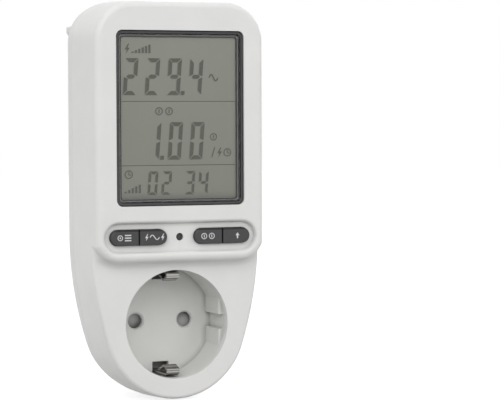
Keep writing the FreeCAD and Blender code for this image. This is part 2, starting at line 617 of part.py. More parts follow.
def housing_outline(sketch, inset="0"):
    """Front outline of the housing: straight sides, round top corners, sides that sweep in to
    a lower end round the socket axis. An inset keeps the centres and shrinks the radii."""
    w, top, corner, low = size("half_width"), size("top_height"), size("top_radius"), size("bottom_radius")
    i, side, start = size(inset), size("side_radius"), size("side_start")
    sweep = math.degrees(math.atan2(start, side - w))
    upper = line(sketch, -(w - corner), top - i, w - corner, top - i)
    right = line(sketch, w - i, top - corner, w - i, start)
    left = line(sketch, -(w - i), start, -(w - i), top - corner)
    right_corner = arc(sketch, w - corner, top - corner, corner - i, 0, 90)
    left_corner = arc(sketch, -(w - corner), top - corner, corner - i, 90, 180)
    right_side = arc(sketch, w - side, start, side - i, -sweep, 0)
    left_side = arc(sketch, -(w - side), start, side - i, 180, 180 + sweep)
    lower = arc(sketch, 0, 0, low - i, 180 + sweep, 360 - sweep)
    join(sketch, [
        (upper, 2, right_corner, 2), (right_corner, 1, right, 1), (right, 2, right_side, 2),
        (right_side, 1, lower, 2), (lower, 1, left_side, 2), (left_side, 1, left, 1),
        (left, 2, left_corner, 2), (left_corner, 1, upper, 1)])
    place(sketch, right_corner, 3, "half_width - top_radius", "top_height - top_radius")
    place(sketch, left_corner, 3, "-(half_width - top_radius)", "top_height - top_radius")
    constrain(sketch, "top_radius - (%s)" % inset, "Radius", right_corner)
    constrain(sketch, "top_radius - (%s)" % inset, "Radius", left_corner)
    place(sketch, lower, 3, "0", "0")
    constrain(sketch, "bottom_radius - (%s)" % inset, "Radius", lower)
    for geo, across in ((right_side, "half_width - side_radius"), (left_side, "side_radius - half_width")):
        constrain(sketch, across, "DistanceX", -1, 1, geo, 3)
        constrain(sketch, "side_radius - (%s)" % inset, "Radius", geo)


# Features


def add_feature(body, kind, name, sketch, length, backward=False, draft=None):
    """Pad or Pocket. A pad grows towards the front and a pocket cuts towards the rear,
    unless it runs backward."""
    feature = body.newObject("PartDesign::" + kind, name)
    feature.Profile = sketch
    bind(feature, "Length", length)
    feature.Reversed = backward
    if draft is not None:
        bind(feature, "TaperAngle", draft)
    sketch.Visibility = False
    doc.recompute()
    return feature


def pad(body, name, sketch, length, backward=False, draft=None):
    return add_feature(body, "Pad", name, sketch, length, backward, draft)


def pocket(body, name, sketch, length, backward=False, draft=None):
    return add_feature(body, "Pocket", name, sketch, length, backward, draft)


def round_edges(body, name, radius, wanted, kind="Fillet"):
    """Fillet or Chamfer on the edges of the body's tip that pass a test."""
    base = body.Tip
    names = ["Edge%d" % (i + 1) for i, edge in enumerate(base.Shape.Edges) if wanted(edge)]
    feature = body.newObject("PartDesign::" + kind, name)
    feature.Base = (base, names)
    bind(feature, "Radius" if kind == "Fillet" else "Size", radius)
    doc.recompute()
    return feature


def at_depth(edge, depth):
    """The whole edge lies in the plane at this depth."""
    box = edge.BoundBox
    return abs(box.YMin + depth) < 1e-3 and abs(box.YMax + depth) < 1e-3


def revolve_about_y(body, name, corners, x="0"):
    """Turned piece: corners are pairs of radius and y."""
    sketch = body.newObject("Sketcher::SketchObject", name + "_profile")
    sketch.AttachmentSupport = [(plane(body, "XY_Plane"), "")]
    sketch.MapMode = "FlatFace"
    bind(sketch, "AttachmentOffset.Base.x", x)
    polygon(sketch, corners)
    feature = body.newObject("PartDesign::Revolution", name)
    feature.Profile = sketch
    feature.ReferenceAxis = (sketch, ["V_Axis"])
    feature.Angle = 360
    doc.recompute()
    return feature


# Simple solids that stand in the housing: each is placed and sized by expressions


def box(name, x0, x1, depth0, depth1, z0, z1):
    solid = doc.addObject("Part::Box", name)
    bind(solid, "Length", "(%s) - (%s)" % (x1, x0))
    bind(solid, "Width", "(%s) - (%s)" % (depth1, depth0))
    bind(solid, "Height", "(%s) - (%s)" % (z1, z0))
    bind(solid, "Placement.Base.x", x0)
    bind(solid, "Placement.Base.y", "-(%s)" % depth1)
    bind(solid, "Placement.Base.z", z0)
    return solid


TURNS = {
    "x": FreeCAD.Rotation(FreeCAD.Vector(0, 1, 0), 90),
    "depth": FreeCAD.Rotation(FreeCAD.Vector(1, 0, 0), 90),
    "z": FreeCAD.Rotation(),
}


def cylinder(name, axis, radius, length, x, depth, z):
    """Cylinder whose base centre is at x, depth and z. Along the depth it grows forward."""
    solid = doc.addObject("Part::Cylinder", name)
    bind(solid, "Radius", radius)
    bind(solid, "Height", length)
    solid.Placement = FreeCAD.Placement(FreeCAD.Vector(0, 0, 0), TURNS[axis])
    bind(solid, "Placement.Base.x", x)
    bind(solid, "Placement.Base.y", "-(%s)" % depth)
    bind(solid, "Placement.Base.z", z)
    return solid


def bent_strip(name, corners, wide, thick, x="0"):
    """Strip of sheet metal, bent along a path of y and z pairs about a plane of given x."""
    path = doc.addObject("Sketcher::SketchObject", name + "_path")
    turn = FreeCAD.Rotation(FreeCAD.Vector(0, 1, 0), FreeCAD.Vector(0, 0, 1), FreeCAD.Vector(1, 0, 0), "ZXY")
    path.Placement = FreeCAD.Placement(FreeCAD.Vector(0, 0, 0), turn)
    bind(path, "Placement.Base.x", "%s - (%s) / 2" % (x, wide))
    open_path(path, corners)
    outline = doc.addObject("Part::Offset2D", name + "_outline")
    outline.Source = path
    bind(outline, "Value", "(%s) / 2" % thick)
    outline.Fill = True
    strip = doc.addObject("Part::Extrusion", name)
    strip.Base = outline
    strip.DirMode = "Custom"
    strip.Dir = FreeCAD.Vector(1, 0, 0)
    bind(strip, "LengthFwd", wide)
    strip.Solid = True
    return strip


def fuse(name, solids):
    joined = doc.addObject("Part::MultiFuse", name)
    joined.Shapes = solids
    return joined


def group(name, solids):
    """Separate solids that share one node."""
    holder = doc.addObject("Part::Compound", name)
    holder.Links = solids
    return holder


def cut(name, base, tool):
    result = doc.addObject("Part::Cut", name)
    result.Base = base
    result.Tool = tool
    return result


def finish(solid, label):
    solid.Label = label
    PARTS.append(solid)
    return solid


# Housing


def front_housing():
    body = new_body("front_housing")
    band = front_sketch(body, "band_outline", "parting_depth")
    housing_outline(band)
    pad(body, "straight_band", band, "crease_depth - parting_depth")
    front = front_sketch(body, "front_outline", "crease_depth")
    housing_outline(front)
    pad(body, "drafted_front", front, "body_depth - crease_depth", draft="-front_draft")

    # The socket face is cut back below the raised panel, whose lower corners are round
    step = front_sketch(body, "step_outline", "body_depth")
    w, corner, low = size("half_width"), size("panel_corner"), size("panel_bottom")
    far = size("half_width * 1.5")
    bottom = line(step, -(w - corner), low, w - corner, low)
    right_corner = arc(step, w - corner, low + corner, corner, 270, 360)
    right_out = line(step, w, low + corner, far, low + corner)
    right_down = line(step, far, low + corner, far, -far)
    across = line(step, far, -far, -far, -far)
    left_up = line(step, -far, -far, -far, low + corner)
    left_in = line(step, -far, low + corner, -w, low + corner)
    left_corner = arc(step, -(w - corner), low + corner, corner, 180, 270)
    join(step, [(bottom, 2, right_corner, 1), (left_corner, 2, bottom, 1)])
    for first, first_end, second, second_end in (
            (right_corner, 2, right_out, 1), (right_out, 2, right_down, 1), (right_down, 2, across, 1),
            (across, 2, left_up, 1), (left_up, 2, left_in, 1), (left_in, 2, left_corner, 1)):
        step.addConstraint(Sketcher.Constraint("Coincident", first, first_end, second, second_end))
    for geo in (right_out, left_in):
        step.addConstraint(Sketcher.Constraint("Horizontal", geo))
    place(step, right_corner, 3, "half_width - panel_corner", "panel_bottom + panel_corner")
    place(step, left_corner, 3, "-(half_width - panel_corner)", "panel_bottom + panel_corner")
    constrain(step, "panel_corner", "Radius", right_corner)
    constrain(step, "panel_corner", "Radius", left_corner)
    place(step, right_out, 2, "half_width * 1.5", "side_start")
    place(step, across, 1, "half_width * 1.5", "-half_width * 1.5")
    place(step, across, 2, "-half_width * 1.5", "-half_width * 1.5")
    place(step, left_in, 1, "-half_width * 1.5", "side_start")
    pocket(body, "step", step, "face_step")

    front_y = size("body_depth")
    lower_y = size("lower_depth")
    joint_y = size("parting_depth")
    start = size("panel_bottom")
    round_edges(body, "joint_rounding", "joint_round", lambda e: at_depth(e, joint_y))
    round_edges(body, "face_rounding", "face_round", lambda e: at_depth(e, front_y))
    round_edges(body, "lower_rounding", "lower_round", lambda e: at_depth(e, lower_y) and e.BoundBox.ZMin < start - 0.5)
    round_edges(body, "step_foot", "step_blend", lambda e: at_depth(e, lower_y) and e.BoundBox.ZMin > start - 0.5)

    # Hollow: the whole shell first, then the deeper space behind the raised panel
    hollow = front_sketch(body, "hollow_outline", "parting_depth")
    housing_outline(hollow, "shell_wall")
    pocket(body, "hollow", hollow, "lower_depth - shell_wall - parting_depth", backward=True)
    low_edge = "(panel_bottom + panel_ledge)"
    high_edge = "(top_height - panel_inner_inset)"
    panel = front_sketch(body, "panel_hollow_outline", "lower_depth - shell_wall",
                         "0", "(%s + %s) / 2" % (low_edge, high_edge))
    round_rect(panel, "2 * (half_width - panel_inner_inset)", "%s - %s" % (high_edge, low_edge), "panel_inner_corner")
    pocket(body, "panel_hollow", panel, "face_step", backward=True)

    # Backing for the sunk key field
    backing = front_sketch(body, "recess_backing_outline", "recess_back", "0", "recess_height")
    pill(backing, "recess_wide + 2 * recess_margin", "recess_tall + 2 * recess_margin")
    pad(body, "recess_backing", backing, "shell_wall")
    field = front_sketch(body, "recess_outline", "body_depth", "0", "recess_height")
    pill(field, "recess_wide", "recess_tall")
    pocket(body, "recess", field, "recess_sink", draft="-recess_slope")
    low, high = size("recess_height - recess_tall"), size("recess_height + recess_tall")
    round_edges(body, "recess_edge_rounding", "recess_edge",
                lambda e: at_depth(e, front_y) and low < e.BoundBox.ZMin and e.BoundBox.ZMax < high)

    # Bosses for the housing screws, for the socket insert and for the display board
    bosses = front_sketch(body, "boss_outlines", "boss_start")
    for side in ("", "-"):
        circle(bosses, "boss_radius", side + "top_screw_side", "top_screw_height")
    pad(body, "upper_bosses", bosses, "body_depth - shell_wall / 2 - boss_start")
    bosses = front_sketch(body, "lower_boss_outlines", "boss_start")
    for side in ("", "-"):
        circle(bosses, "boss_radius", side + "low_screw_side", "low_screw_height")
    pad(body, "lower_bosses", bosses, "lower_depth - shell_wall / 2 - boss_start")
    bosses = front_sketch(body, "insert_boss_outlines", "floor_depth")
    for side in ("", "-"):
        circle(bosses, "insert_boss_radius", side + "ear_side", "ear_side")
    pad(body, "insert_bosses", bosses, "lower_depth - shell_wall / 2 - floor_depth")
    posts = front_sketch(body, "post_outlines", "display_board_depth + rest_gap")
    for side in ("", "-"):
        for height in ("post_low", "post_high"):
            circle(posts, "post_radius", side + "post_side", height)
    pad(body, "board_posts", posts, "body_depth - shell_wall / 2 - display_board_depth - rest_gap")

    pilots = front_sketch(body, "pilot_outlines", "boss_start")
    for side in ("", "-"):
        circle(pilots, "screw_radius + screw_gap", side + "top_screw_side", "top_screw_height")
        circle(pilots, "screw_radius + screw_gap", side + "low_screw_side", "low_screw_height")
    pocket(body, "pilots", pilots, "screw_length - (boss_start - screw_seat) + pilot_spare", backward=True)
    pilots = front_sketch(body, "insert_pilot_outlines", "floor_depth")
    for side in ("", "-"):
        circle(pilots, "small_screw_radius + screw_gap", side + "ear_side", "ear_side")
    pocket(body, "insert_pilots", pilots, "small_screw_length + pilot_spare", backward=True)
    pilots = front_sketch(body, "post_pilot_outlines", "display_board_depth + rest_gap")
    for side in ("", "-"):
        for height in ("post_low", "post_high"):
            circle(pilots, "small_screw_radius + screw_gap", side + "post_side", height)
    pocket(body, "post_pilots", pilots, "small_screw_length - board_thick + pilot_spare", backward=True)

    # Openings for the display, the keys, the reset pin and the socket
    opening = front_sketch(body, "window_outline", "body_depth", "0", "window_height")
    round_rect(opening, "window_wide", "window_tall", "window_corner")
    pocket(body, "window_opening", opening, "face_step")
    slots = front_sketch(body, "key_slot_outlines", "body_depth", "0", "key_height")
    pill(slots, "slot_wide", "slot_tall", "key_pair")
    pill(slots, "slot_wide", "slot_tall", "-key_pair")
    pocket(body, "key_slots", slots, "face_step")
    reset = front_sketch(body, "reset_outline", "body_depth", "0", "reset_height")
    circle(reset, "reset_radius")
    pocket(body, "reset_hole", reset, "face_step")
    socket = front_sketch(body, "socket_outline", "body_depth")
    circle(socket, "well_radius")
    pocket(body, "socket_opening", socket, "face_step + shell_wall + over")


def rear_cover():
    body = new_body("rear_cover")
    outline = front_sketch(body, "cover_outline", "parting_depth")
    housing_outline(outline)
    pad(body, "cover", outline, "parting_depth", backward=True, draft="-rear_draft")
    round_edges(body, "rear_rounding", "rear_round", lambda e: at_depth(e, 0))
    joint_y = size("parting_depth")
    round_edges(body, "joint_rounding", "joint_round", lambda e: at_depth(e, joint_y))

    # Two nubs steady the top of the meter against the wall
    for side in ("", "-"):
        tip = "%s(half_width - nub_inset)" % side
        root = "%s(half_width - nub_inset - nub_root)" % side
        heel = "%s(half_width - nub_inset - nub_slope)" % side
        nub = front_sketch(body, "nub_outline" + ("_left" if side else "_right"), "nub_depth")
        polygon(nub, [
            (tip, "nub_height + nub_blunt"), (root, "nub_height + nub_rise"),
            (root, "nub_height - nub_drop"), (heel, "nub_height - nub_drop"),
            (tip, "nub_height - nub_blunt")])
        pad(body, "nub" + ("_left" if side else "_right"), nub, "nub_length")

    hollow = front_sketch(body, "cover_hollow_outline", "parting_depth")
    housing_outline(hollow, "shell_wall")
    pocket(body, "cover_hollow", hollow, "parting_depth - rear_wall", draft="-rear_draft")
    floor = size("rear_wall")
    round_edges(body, "hollow_rounding", "rear_round - rear_wall", lambda e: at_depth(e, floor))

    lip = front_sketch(body, "lip_outline", "parting_depth - lip_root")
    housing_outline(lip, "shell_wall + fit_gap")
    housing_outline(lip, "shell_wall + fit_gap + lip_thick")
    pad(body, "lip", lip, "lip_root + lip_height")

    tubes = front_sketch(body, "tube_outlines", "rear_wall")
    for side in ("", "-"):
        circle(tubes, "tube_radius", side + "top_screw_side", "top_screw_height")
        circle(tubes, "tube_radius", side + "low_screw_side", "low_screw_height")
    pad(body, "screw_tubes", tubes, "boss_start - fit_gap - rear_wall")
    seat = front_sketch(body, "plug_seat_outline", "rear_wall / 2")
    circle(seat, "ring_radius + seat_ring")
    pad(body, "plug_seat", seat, "plug_seat - rear_wall / 2")
    feet = front_sketch(body, "foot_outlines", "rear_wall / 2")
    for side in ("", "-"):
        for height in ("foot_low", "foot_high"):
            circle(feet, "foot_radius", side + "foot_side", height)
    pad(body, "board_feet", feet, "power_board_depth - board_thick - rest_gap - rear_wall / 2")
    pilots = front_sketch(body, "foot_pilot_outlines", "power_board_depth - board_thick")
    for side in ("", "-"):
        for height in ("foot_low", "foot_high"):
            circle(pilots, "small_screw_radius + screw_gap", side + "foot_side", height)
    pocket(body, "foot_pilots", pilots, "small_screw_length - board_thick + pilot_spare")

    # Screws enter from the rear through the tubes
    seats = front_sketch(body, "seat_outlines", "screw_seat")
    shanks = front_sketch(body, "shank_outlines", "boss_start")
    for side in ("", "-"):
        for across, height in (("top_screw_side", "top_screw_height"), ("low_screw_side", "low_screw_height")):
            circle(seats, "tube_bore", side + across, height)
            circle(shanks, "screw_radius + screw_gap", side + across, height)
    pocket(body, "screw_seats", seats, "screw_seat + over")
    pocket(body, "screw_shanks", shanks, "boss_start")

    opening = front_sketch(body, "plug_opening_outline", "plug_seat")
    circle(opening, "nose_radius + fit_gap")
    pocket(body, "plug_opening", opening, "plug_seat + over")


def plug_body():
    """Plug with flats, guide ribs and earth recesses. Its plate lies on the rear cover's seat and
    its ring carries the contact carrier."""
    body = new_body("plug_body")
    nose = front_sketch(body, "nose_outline", "plug_seat + rest_gap + plug_plate / 2")
    circle(nose, "nose_radius")
    pad(body, "nose", nose, "nose_length + plug_seat + rest_gap + plug_plate / 2", backward=True)
    end = -size("nose_length")
    round_edges(body, "nose_rounding", "nose_edge", lambda e: at_depth(e, end))
    plate = front_sketch(body, "plug_plate_outline", "plug_seat + rest_gap")
    circle(plate, "ring_radius")
    pad(body, "plug_plate", plate, "carrier_depth - plug_seat - 2 * rest_gap")
    hollow = front_sketch(body, "ring_hollow_outline", "carrier_depth")
    circle(hollow, "ring_radius - ring_wall")
    pocket(body, "ring_hollow", hollow, "carrier_depth - plug_seat - rest_gap - plug_plate")
    gate = front_sketch(body, "gate_outline", "carrier_depth")
    rectangle(gate, "-gate_half", "ring_radius / 2", "gate_half", "ring_radius + over")
    pocket(body, "strap_gate", gate, "gate_depth")
    notch = front_sketch(body, "ring_notch_outline", "carrier_depth")
    rectangle(notch, "-ring_notch_half", "-ring_radius - over", "ring_notch_half", "-ring_radius + 2 * ring_wall")
    pocket(body, "ring_notch", notch, "ring_notch_depth")
    bore = front_sketch(body, "nose_bore_outline", "carrier_depth")
    circle(bore, "nose_bore")
    pocket(body, "nose_hollow", bore, "nose_length - nose_end + carrier_depth")
    flats = front_sketch(body, "flat_outlines", "-nose_length")
    for x0, x1 in (("flat_half_span", "nose_radius + over"), ("-nose_radius - over", "-flat_half_span")):
        rectangle(flats, x0, "guide_half", x1, "flat_reach")
        rectangle(flats, x0, "-flat_reach", x1, "-guide_half")
    for z0, z1 in (("earth_recess", "nose_radius + over"), ("-nose_radius - over", "-earth_recess")):
        rectangle(flats, "-earth_recess_half", z0, "earth_recess_half", z1)
    pocket(body, "plug_flats", flats, "nose_length", backward=True)
    gates = front_sketch(body, "earth_gate_outlines", "carrier_depth")
    for sign in ("", "-"):
        inner = "%s(arm_level - strap_thick / 2 - fit_gap)" % sign
        outer = "%s(arm_level + strap_thick / 2 + fit_gap)" % sign
        low, high = (inner, outer) if sign == "" else (outer, inner)
        rectangle(gates, "-earth_wide / 2 - fit_gap", low, "earth_wide / 2 + fit_gap", high)
    pocket(body, "earth_gates", gates, "carrier_depth + over")
    holes = front_sketch(body, "prong_hole_outlines", "-nose_length + nose_end + over")
    circle(holes, "prong_radius + prong_root + prong_gap", "pitch_half")
    circle(holes, "prong_radius + prong_root + prong_gap", "-pitch_half")
    pocket(body, "prong_holes", holes, "nose_end + 2 * over")


def housing_screws():
    """Four long screws that hold the rear cover to the front shell."""
    screws = []
    for side in ("", "-"):
        for across, height in (("top_screw_side", "top_screw_height"), ("low_screw_side", "low_screw_height")):
            name = "housing_screw_%d" % (len(screws) + 1)
            x = side + across
            head = cylinder(name + "_head", "depth", "screw_head_radius", "screw_head_thick",
                            x, "screw_seat - rest_gap - screw_head_thick", height)
            shank = cylinder(name + "_shank", "depth", "screw_radius", "screw_length + screw_head_thick / 2",
                             x, "screw_seat - rest_gap - screw_head_thick / 2", height)
            drive = cylinder(name + "_drive", "depth", "drive_radius", "drive_depth",
                             x, "screw_seat - rest_gap - screw_head_thick", height)
            screws.append(cut(name, fuse(name + "_blank", [head, shank]), drive))
    finish(group("housing_screws", screws), "housing_screws")


def board_screws():
    """Short screws: four in the display board, four in the power board."""
    screws = []
    spots = []
    for side in ("", "-"):
        for height in ("post_low", "post_high"):
            spots.append((side + "post_side", height, "display_board_depth - board_thick", 1))
        for height in ("foot_low", "foot_high"):
            spots.append((side + "foot_side", height, "power_board_depth", -1))
    for x, height, level, forward in spots:
        name = "board_screw_%d" % (len(screws) + 1)
        if forward > 0:
            head_base = "%s - rest_gap - small_head_thick" % level
            shank_base = "%s - rest_gap - small_head_thick / 2" % level
        else:
            head_base = "%s + rest_gap" % level
            shank_base = "%s + rest_gap + small_head_thick / 2 - small_screw_length" % level
        head = cylinder(name + "_head", "depth", "small_head_radius", "small_head_thick", x, head_base, height)
        shank = cylinder(name + "_shank", "depth", "small_screw_radius", "small_screw_length", x, shank_base, height)
        screws.append(fuse(name, [head, shank]))
    finish(group("board_screws", screws), "board_screws")


# Display


def window_bezel():
    body = new_body("window_bezel")
    flange_low = "(window_low - bezel_flange - bezel_foot)"
    flange_high = "(window_high + bezel_flange)"
    flange = front_sketch(body, "flange_outline", "body_depth - bezel_back", "0",
                          "(%s + %s) / 2" % (flange_low, flange_high))
    round_rect(flange, "window_wide + 2 * bezel_flange", "%s - %s" % (flange_high, flange_low), "window_corner")
    pad(body, "flange", flange, "bezel_back - shell_wall - rest_gap")
    frame = front_sketch(body, "frame_outline", "body_depth - bezel_back", "0", "window_height")
    round_rect(frame, "window_wide - 2 * fit_gap", "window_tall - 2 * fit_gap", "window_corner - fit_gap")
    pad(body, "frame", frame, "bezel_back - bezel_recess")
    front = size("body_depth - bezel_recess")
    round_edges(body, "frame_rounding", "bezel_edge", lambda e: at_depth(e, front))
    seat = front_sketch(body, "lens_seat_outline", "body_depth - bezel_recess", "0", "window_height")
    round_rect(seat, "window_wide - 2 * bezel_rim", "window_tall - 2 * bezel_rim", "lens_corner + fit_gap")
    pocket(body, "lens_seat", seat, "lens_recess + lens_thick + rest_gap - bezel_recess")
    view = front_sketch(body, "view_outline", "body_depth", "0", "window_height")
    round_rect(view, "window_wide - 2 * bezel_lip", "window_tall - 2 * bezel_lip", "view_corner")
    pocket(body, "view_opening", view, "bezel_back + over")
    glass = front_sketch(body, "glass_seat_outline", "body_depth - bezel_back", "0",
                         "window_height - glass_ledge / 2")
    round_rect(glass, "glass_wide + 2 * fit_gap", "glass_tall + glass_ledge + 2 * fit_gap", "seat_corner")
    pocket(body, "glass_seat", glass, "bezel_back - glass_recess + rest_gap", backward=True)


def display_window():
    body = new_body("display_window")
    outline = front_sketch(body, "lens_outline", "body_depth - lens_recess - lens_thick", "0", "window_height")
    round_rect(outline, "window_wide - 2 * bezel_rim - 2 * fit_gap", "window_tall - 2 * bezel_rim - 2 * fit_gap",
               "lens_corner")
    pad(body, "lens", outline, "lens_thick")
    front = size("body_depth - lens_recess")
    round_edges(body, "lens_edge", "lens_edge", lambda e: at_depth(e, front))


def display_glass():
    half = "glass_wide / 2"
    high = "(window_height + glass_tall / 2)"
    low = "(window_height - glass_tall / 2)"
    front = "(body_depth - glass_recess - rest_gap)"
    finish(box("lcd_front_glass", "-" + half, half, front + " - glass_thick", front,
               low + " - glass_ledge", high), "lcd_front_glass")
    finish(box("lcd_rear_glass", "-" + half, half, front + " - 2 * glass_thick", front + " - glass_thick",
               low, high), "lcd_rear_glass")
    finish(box("lcd_reflector", "-" + half, half, front + " - 2 * glass_thick - film_thick",
               front + " - 2 * glass_thick", low, high), "lcd_reflector")
    strip_low = low + " - glass_ledge + fit_gap"
    finish(box("zebra_strip", "-" + half + " + zebra_inset", half + " - zebra_inset", "display_board_depth + rest_gap",
               front + " - glass_thick - rest_gap", strip_low, low + " - fit_gap"), "zebra_strip")


def display_holder():
    body = new_body("display_holder")
    front = "(body_depth - bezel_back - rest_gap)"
    back = "(display_board_depth + rest_gap)"
    middle = "window_height - glass_ledge / 2"
    outline = front_sketch(body, "holder_outline", back, "0", middle)
    round_rect(outline, "holder_wide", "glass_tall + glass_ledge + 2 * holder_rim", "holder_corner")
    pad(body, "holder", outline, "%s - %s" % (front, back))
    seat = front_sketch(body, "holder_seat_outline", front, "0", middle)
    round_rect(seat, "glass_wide + 2 * fit_gap", "glass_tall + glass_ledge + 2 * fit_gap", "seat_corner")
    film_back = "(body_depth - glass_recess - rest_gap - 2 * glass_thick - film_thick)"
    pocket(body, "holder_seat", seat, "%s - %s + rest_gap" % (front, film_back))
    slot = front_sketch(body, "zebra_slot_outline", front)
    low = "window_height - glass_tall / 2 - glass_ledge"
    reach = "glass_wide / 2 - zebra_inset + fit_gap"
    rectangle(slot, "-(%s)" % reach, low, reach, low + " + glass_ledge")
    pocket(body, "zebra_slot", slot, "%s - %s + over" % (front, back))
    light = front_sketch(body, "holder_window_outline", front, "0", "window_height")
    round_rect(light, "glass_wide - 2 * light_side", "glass_tall - 2 * light_end", "light_corner")
    pocket(body, "holder_window", light, "%s - %s + over" % (front, back))


def display_board():
    body = new_body("display_board")
    outline = front_sketch(body, "display_board_outline", "display_board_depth - board_thick", "0",
                           "(board_low + board_high) / 2")
    round_rect(outline, "2 * board_half_width", "board_high - board_low", "board_corner")
    pad(body, "display_board_plate", outline, "board_thick")
    holes = front_sketch(body, "display_board_holes", "display_board_depth")
    for side in ("", "-"):
        for height in ("post_low", "post_high"):
            circle(holes, "small_screw_radius + screw_gap", side + "post_side", height)
    pocket(body, "display_board_drilling", holes, "board_thick + over")

    # Driver chip and clock crystal on the rear of the board
    back = "(display_board_depth - board_thick)"
    body = new_body("display_driver")
    outline = front_sketch(body, "driver_outline", back + " - rest_gap - driver_thick", "0", "driver_height")
    round_rect(outline, "driver_wide", "driver_wide", "driver_corner")
    pad(body, "driver", outline, "driver_thick")
    rear = size(back + " - rest_gap - driver_thick")
    round_edges(body, "driver_bevels", "driver_bevel", lambda e: at_depth(e, rear), kind="Chamfer")
    finish(cylinder("clock_crystal", "z", "crystal_radius", "crystal_length", "crystal_side",
                    back + " - rest_gap - crystal_radius", "crystal_height"), "clock_crystal")


# Keys


def keypad_mat():
    """Rubber mat under the keys, with a collar round each plunger."""
    body = new_body("keypad_mat")
    sheet_outline = front_sketch(body, "mat_outline", "display_board_depth + rest_gap", "0", "mat_height")
    pill(sheet_outline, "mat_wide", "mat_tall")
    pad(body, "mat", sheet_outline, "mat_thick")
    collars = front_sketch(body, "collar_outlines", "display_board_depth + rest_gap", "0", "key_height")
    for across in key_centres():
        circle(collars, "plunger_radius + key_gap + collar_wall", across)
    circle(collars, "reset_stem_radius + key_gap + collar_wall")
    pad(body, "collars", collars, "mat_thick + collar_rise")
    wells = front_sketch(body, "well_outlines", "display_board_depth", "0", "key_height")
    for across in key_centres():
        circle(wells, "plunger_radius + key_gap", across)
    circle(wells, "reset_stem_radius + key_gap")
    pocket(body, "wells", wells, "mat_thick + collar_rise + over", backward=True)


def key_centres():
    """Middle of each key across, from left to right."""
    quarter = "(slot_wide + key_split) / 4"
    return ["-key_pair - " + quarter, "-key_pair + " + quarter, "key_pair - " + quarter, "key_pair + " + quarter]


def half_pill(sketch, wide, tall, rounded):
    """Outline of a key about its own middle: one end round, the other straight."""
    reach, r = size(wide) / 2, size(tall) / 2
    s = 1 if rounded == "right" else -1
    top = line(sketch, -s * reach, r, s * (reach - r), r)
    bottom = line(sketch, s * (reach - r), -r, -s * reach, -r)
    straight = line(sketch, -s * reach, -r, -s * reach, r)
    if s > 0:
        nose = arc(sketch, reach - r, 0, r, 270, 450)
        join(sketch, [(top, 2, nose, 2), (nose, 1, bottom, 1)])
    else:
        nose = arc(sketch, -(reach - r), 0, r, 90, 270)
        join(sketch, [(top, 2, nose, 1), (nose, 2, bottom, 1)])
    sketch.addConstraint(Sketcher.Constraint("Coincident", bottom, 2, straight, 1))
    sketch.addConstraint(Sketcher.Constraint("Coincident", straight, 2, top, 1))
    sign = "" if s > 0 else "-"
    place(sketch, nose, 3, "%s((%s) / 2 - (%s) / 2)" % (sign, wide, tall), "0")
    constrain(sketch, "(%s) / 2" % tall, "Radius", nose)
    across = "-(%s) / 2" % wide if s > 0 else "(%s) / 2" % wide
    place(sketch, straight, 1, across, "-(%s) / 2" % tall)
    sketch.addConstraint(Sketcher.Constraint("Vertical", straight))


def keys():
    """Four key caps, two in each opening, each on a rubber plunger."""
    wide = "((slot_wide - key_split) / 2 - key_gap)"
    tall = "(slot_tall - 2 * key_gap)"
    flange_front = "(recess_back - flange_gap)"
    flange_back = "(recess_back - flange_gap - key_flange_thick)"
    for number, across in enumerate(key_centres(), start=1):
        rounded = "left" if number % 2 else "right"
        sign = "+" if rounded == "right" else "-"
        name = "key_%d" % number
        body = new_body(name)
        nudge = across + " %s (0 - key_gap / 2)" % sign
        cap = front_sketch(body, name + "_outline", flange_back, nudge, "key_height")
        half_pill(cap, wide, tall, rounded)
        pad(body, name + "_cap", cap, "recess_depth + key_proud - %s" % flange_back)
        top = size("recess_depth + key_proud")
        round_edges(body, name + "_rounding", "key_edge", lambda e: at_depth(e, top))
        flange = front_sketch(body, name + "_flange_outline", flange_back,
                              "%s %s key_flange / 2" % (nudge, sign), "key_height")
        half_pill(flange, wide + " + key_flange", tall + " + 2 * key_flange", rounded)
        pad(body, name + "_flange", flange, "key_flange_thick")
        low = "(display_board_depth + key_travel + 2 * rest_gap)"
        plunger = cylinder(name + "_rod", "depth", "plunger_radius", "%s - %s - rest_gap" % (flange_back, low),
                           across, low, "key_height")
        finish(plunger, "plunger_%d" % number)
    body = new_body("reset_button")
    top = "recess_depth - reset_sink"
    low = "(display_board_depth + key_travel + 2 * rest_gap)"
    revolve_about_y(body, "reset_turning", [
        ("0", "-(%s)" % low), ("0", "-(%s)" % top), ("reset_button_radius", "-(%s)" % top),
        ("reset_button_radius", "-(%s)" % flange_front), ("reset_flange_radius", "-(%s)" % flange_front),
        ("reset_flange_radius", "-(%s)" % flange_back), ("reset_stem_radius", "-(%s)" % flange_back),
        ("reset_stem_radius", "-(%s)" % low)])
    body.Placement = FreeCAD.Placement()
    bind(body, "Placement.Base.z", "reset_height")


# Socket


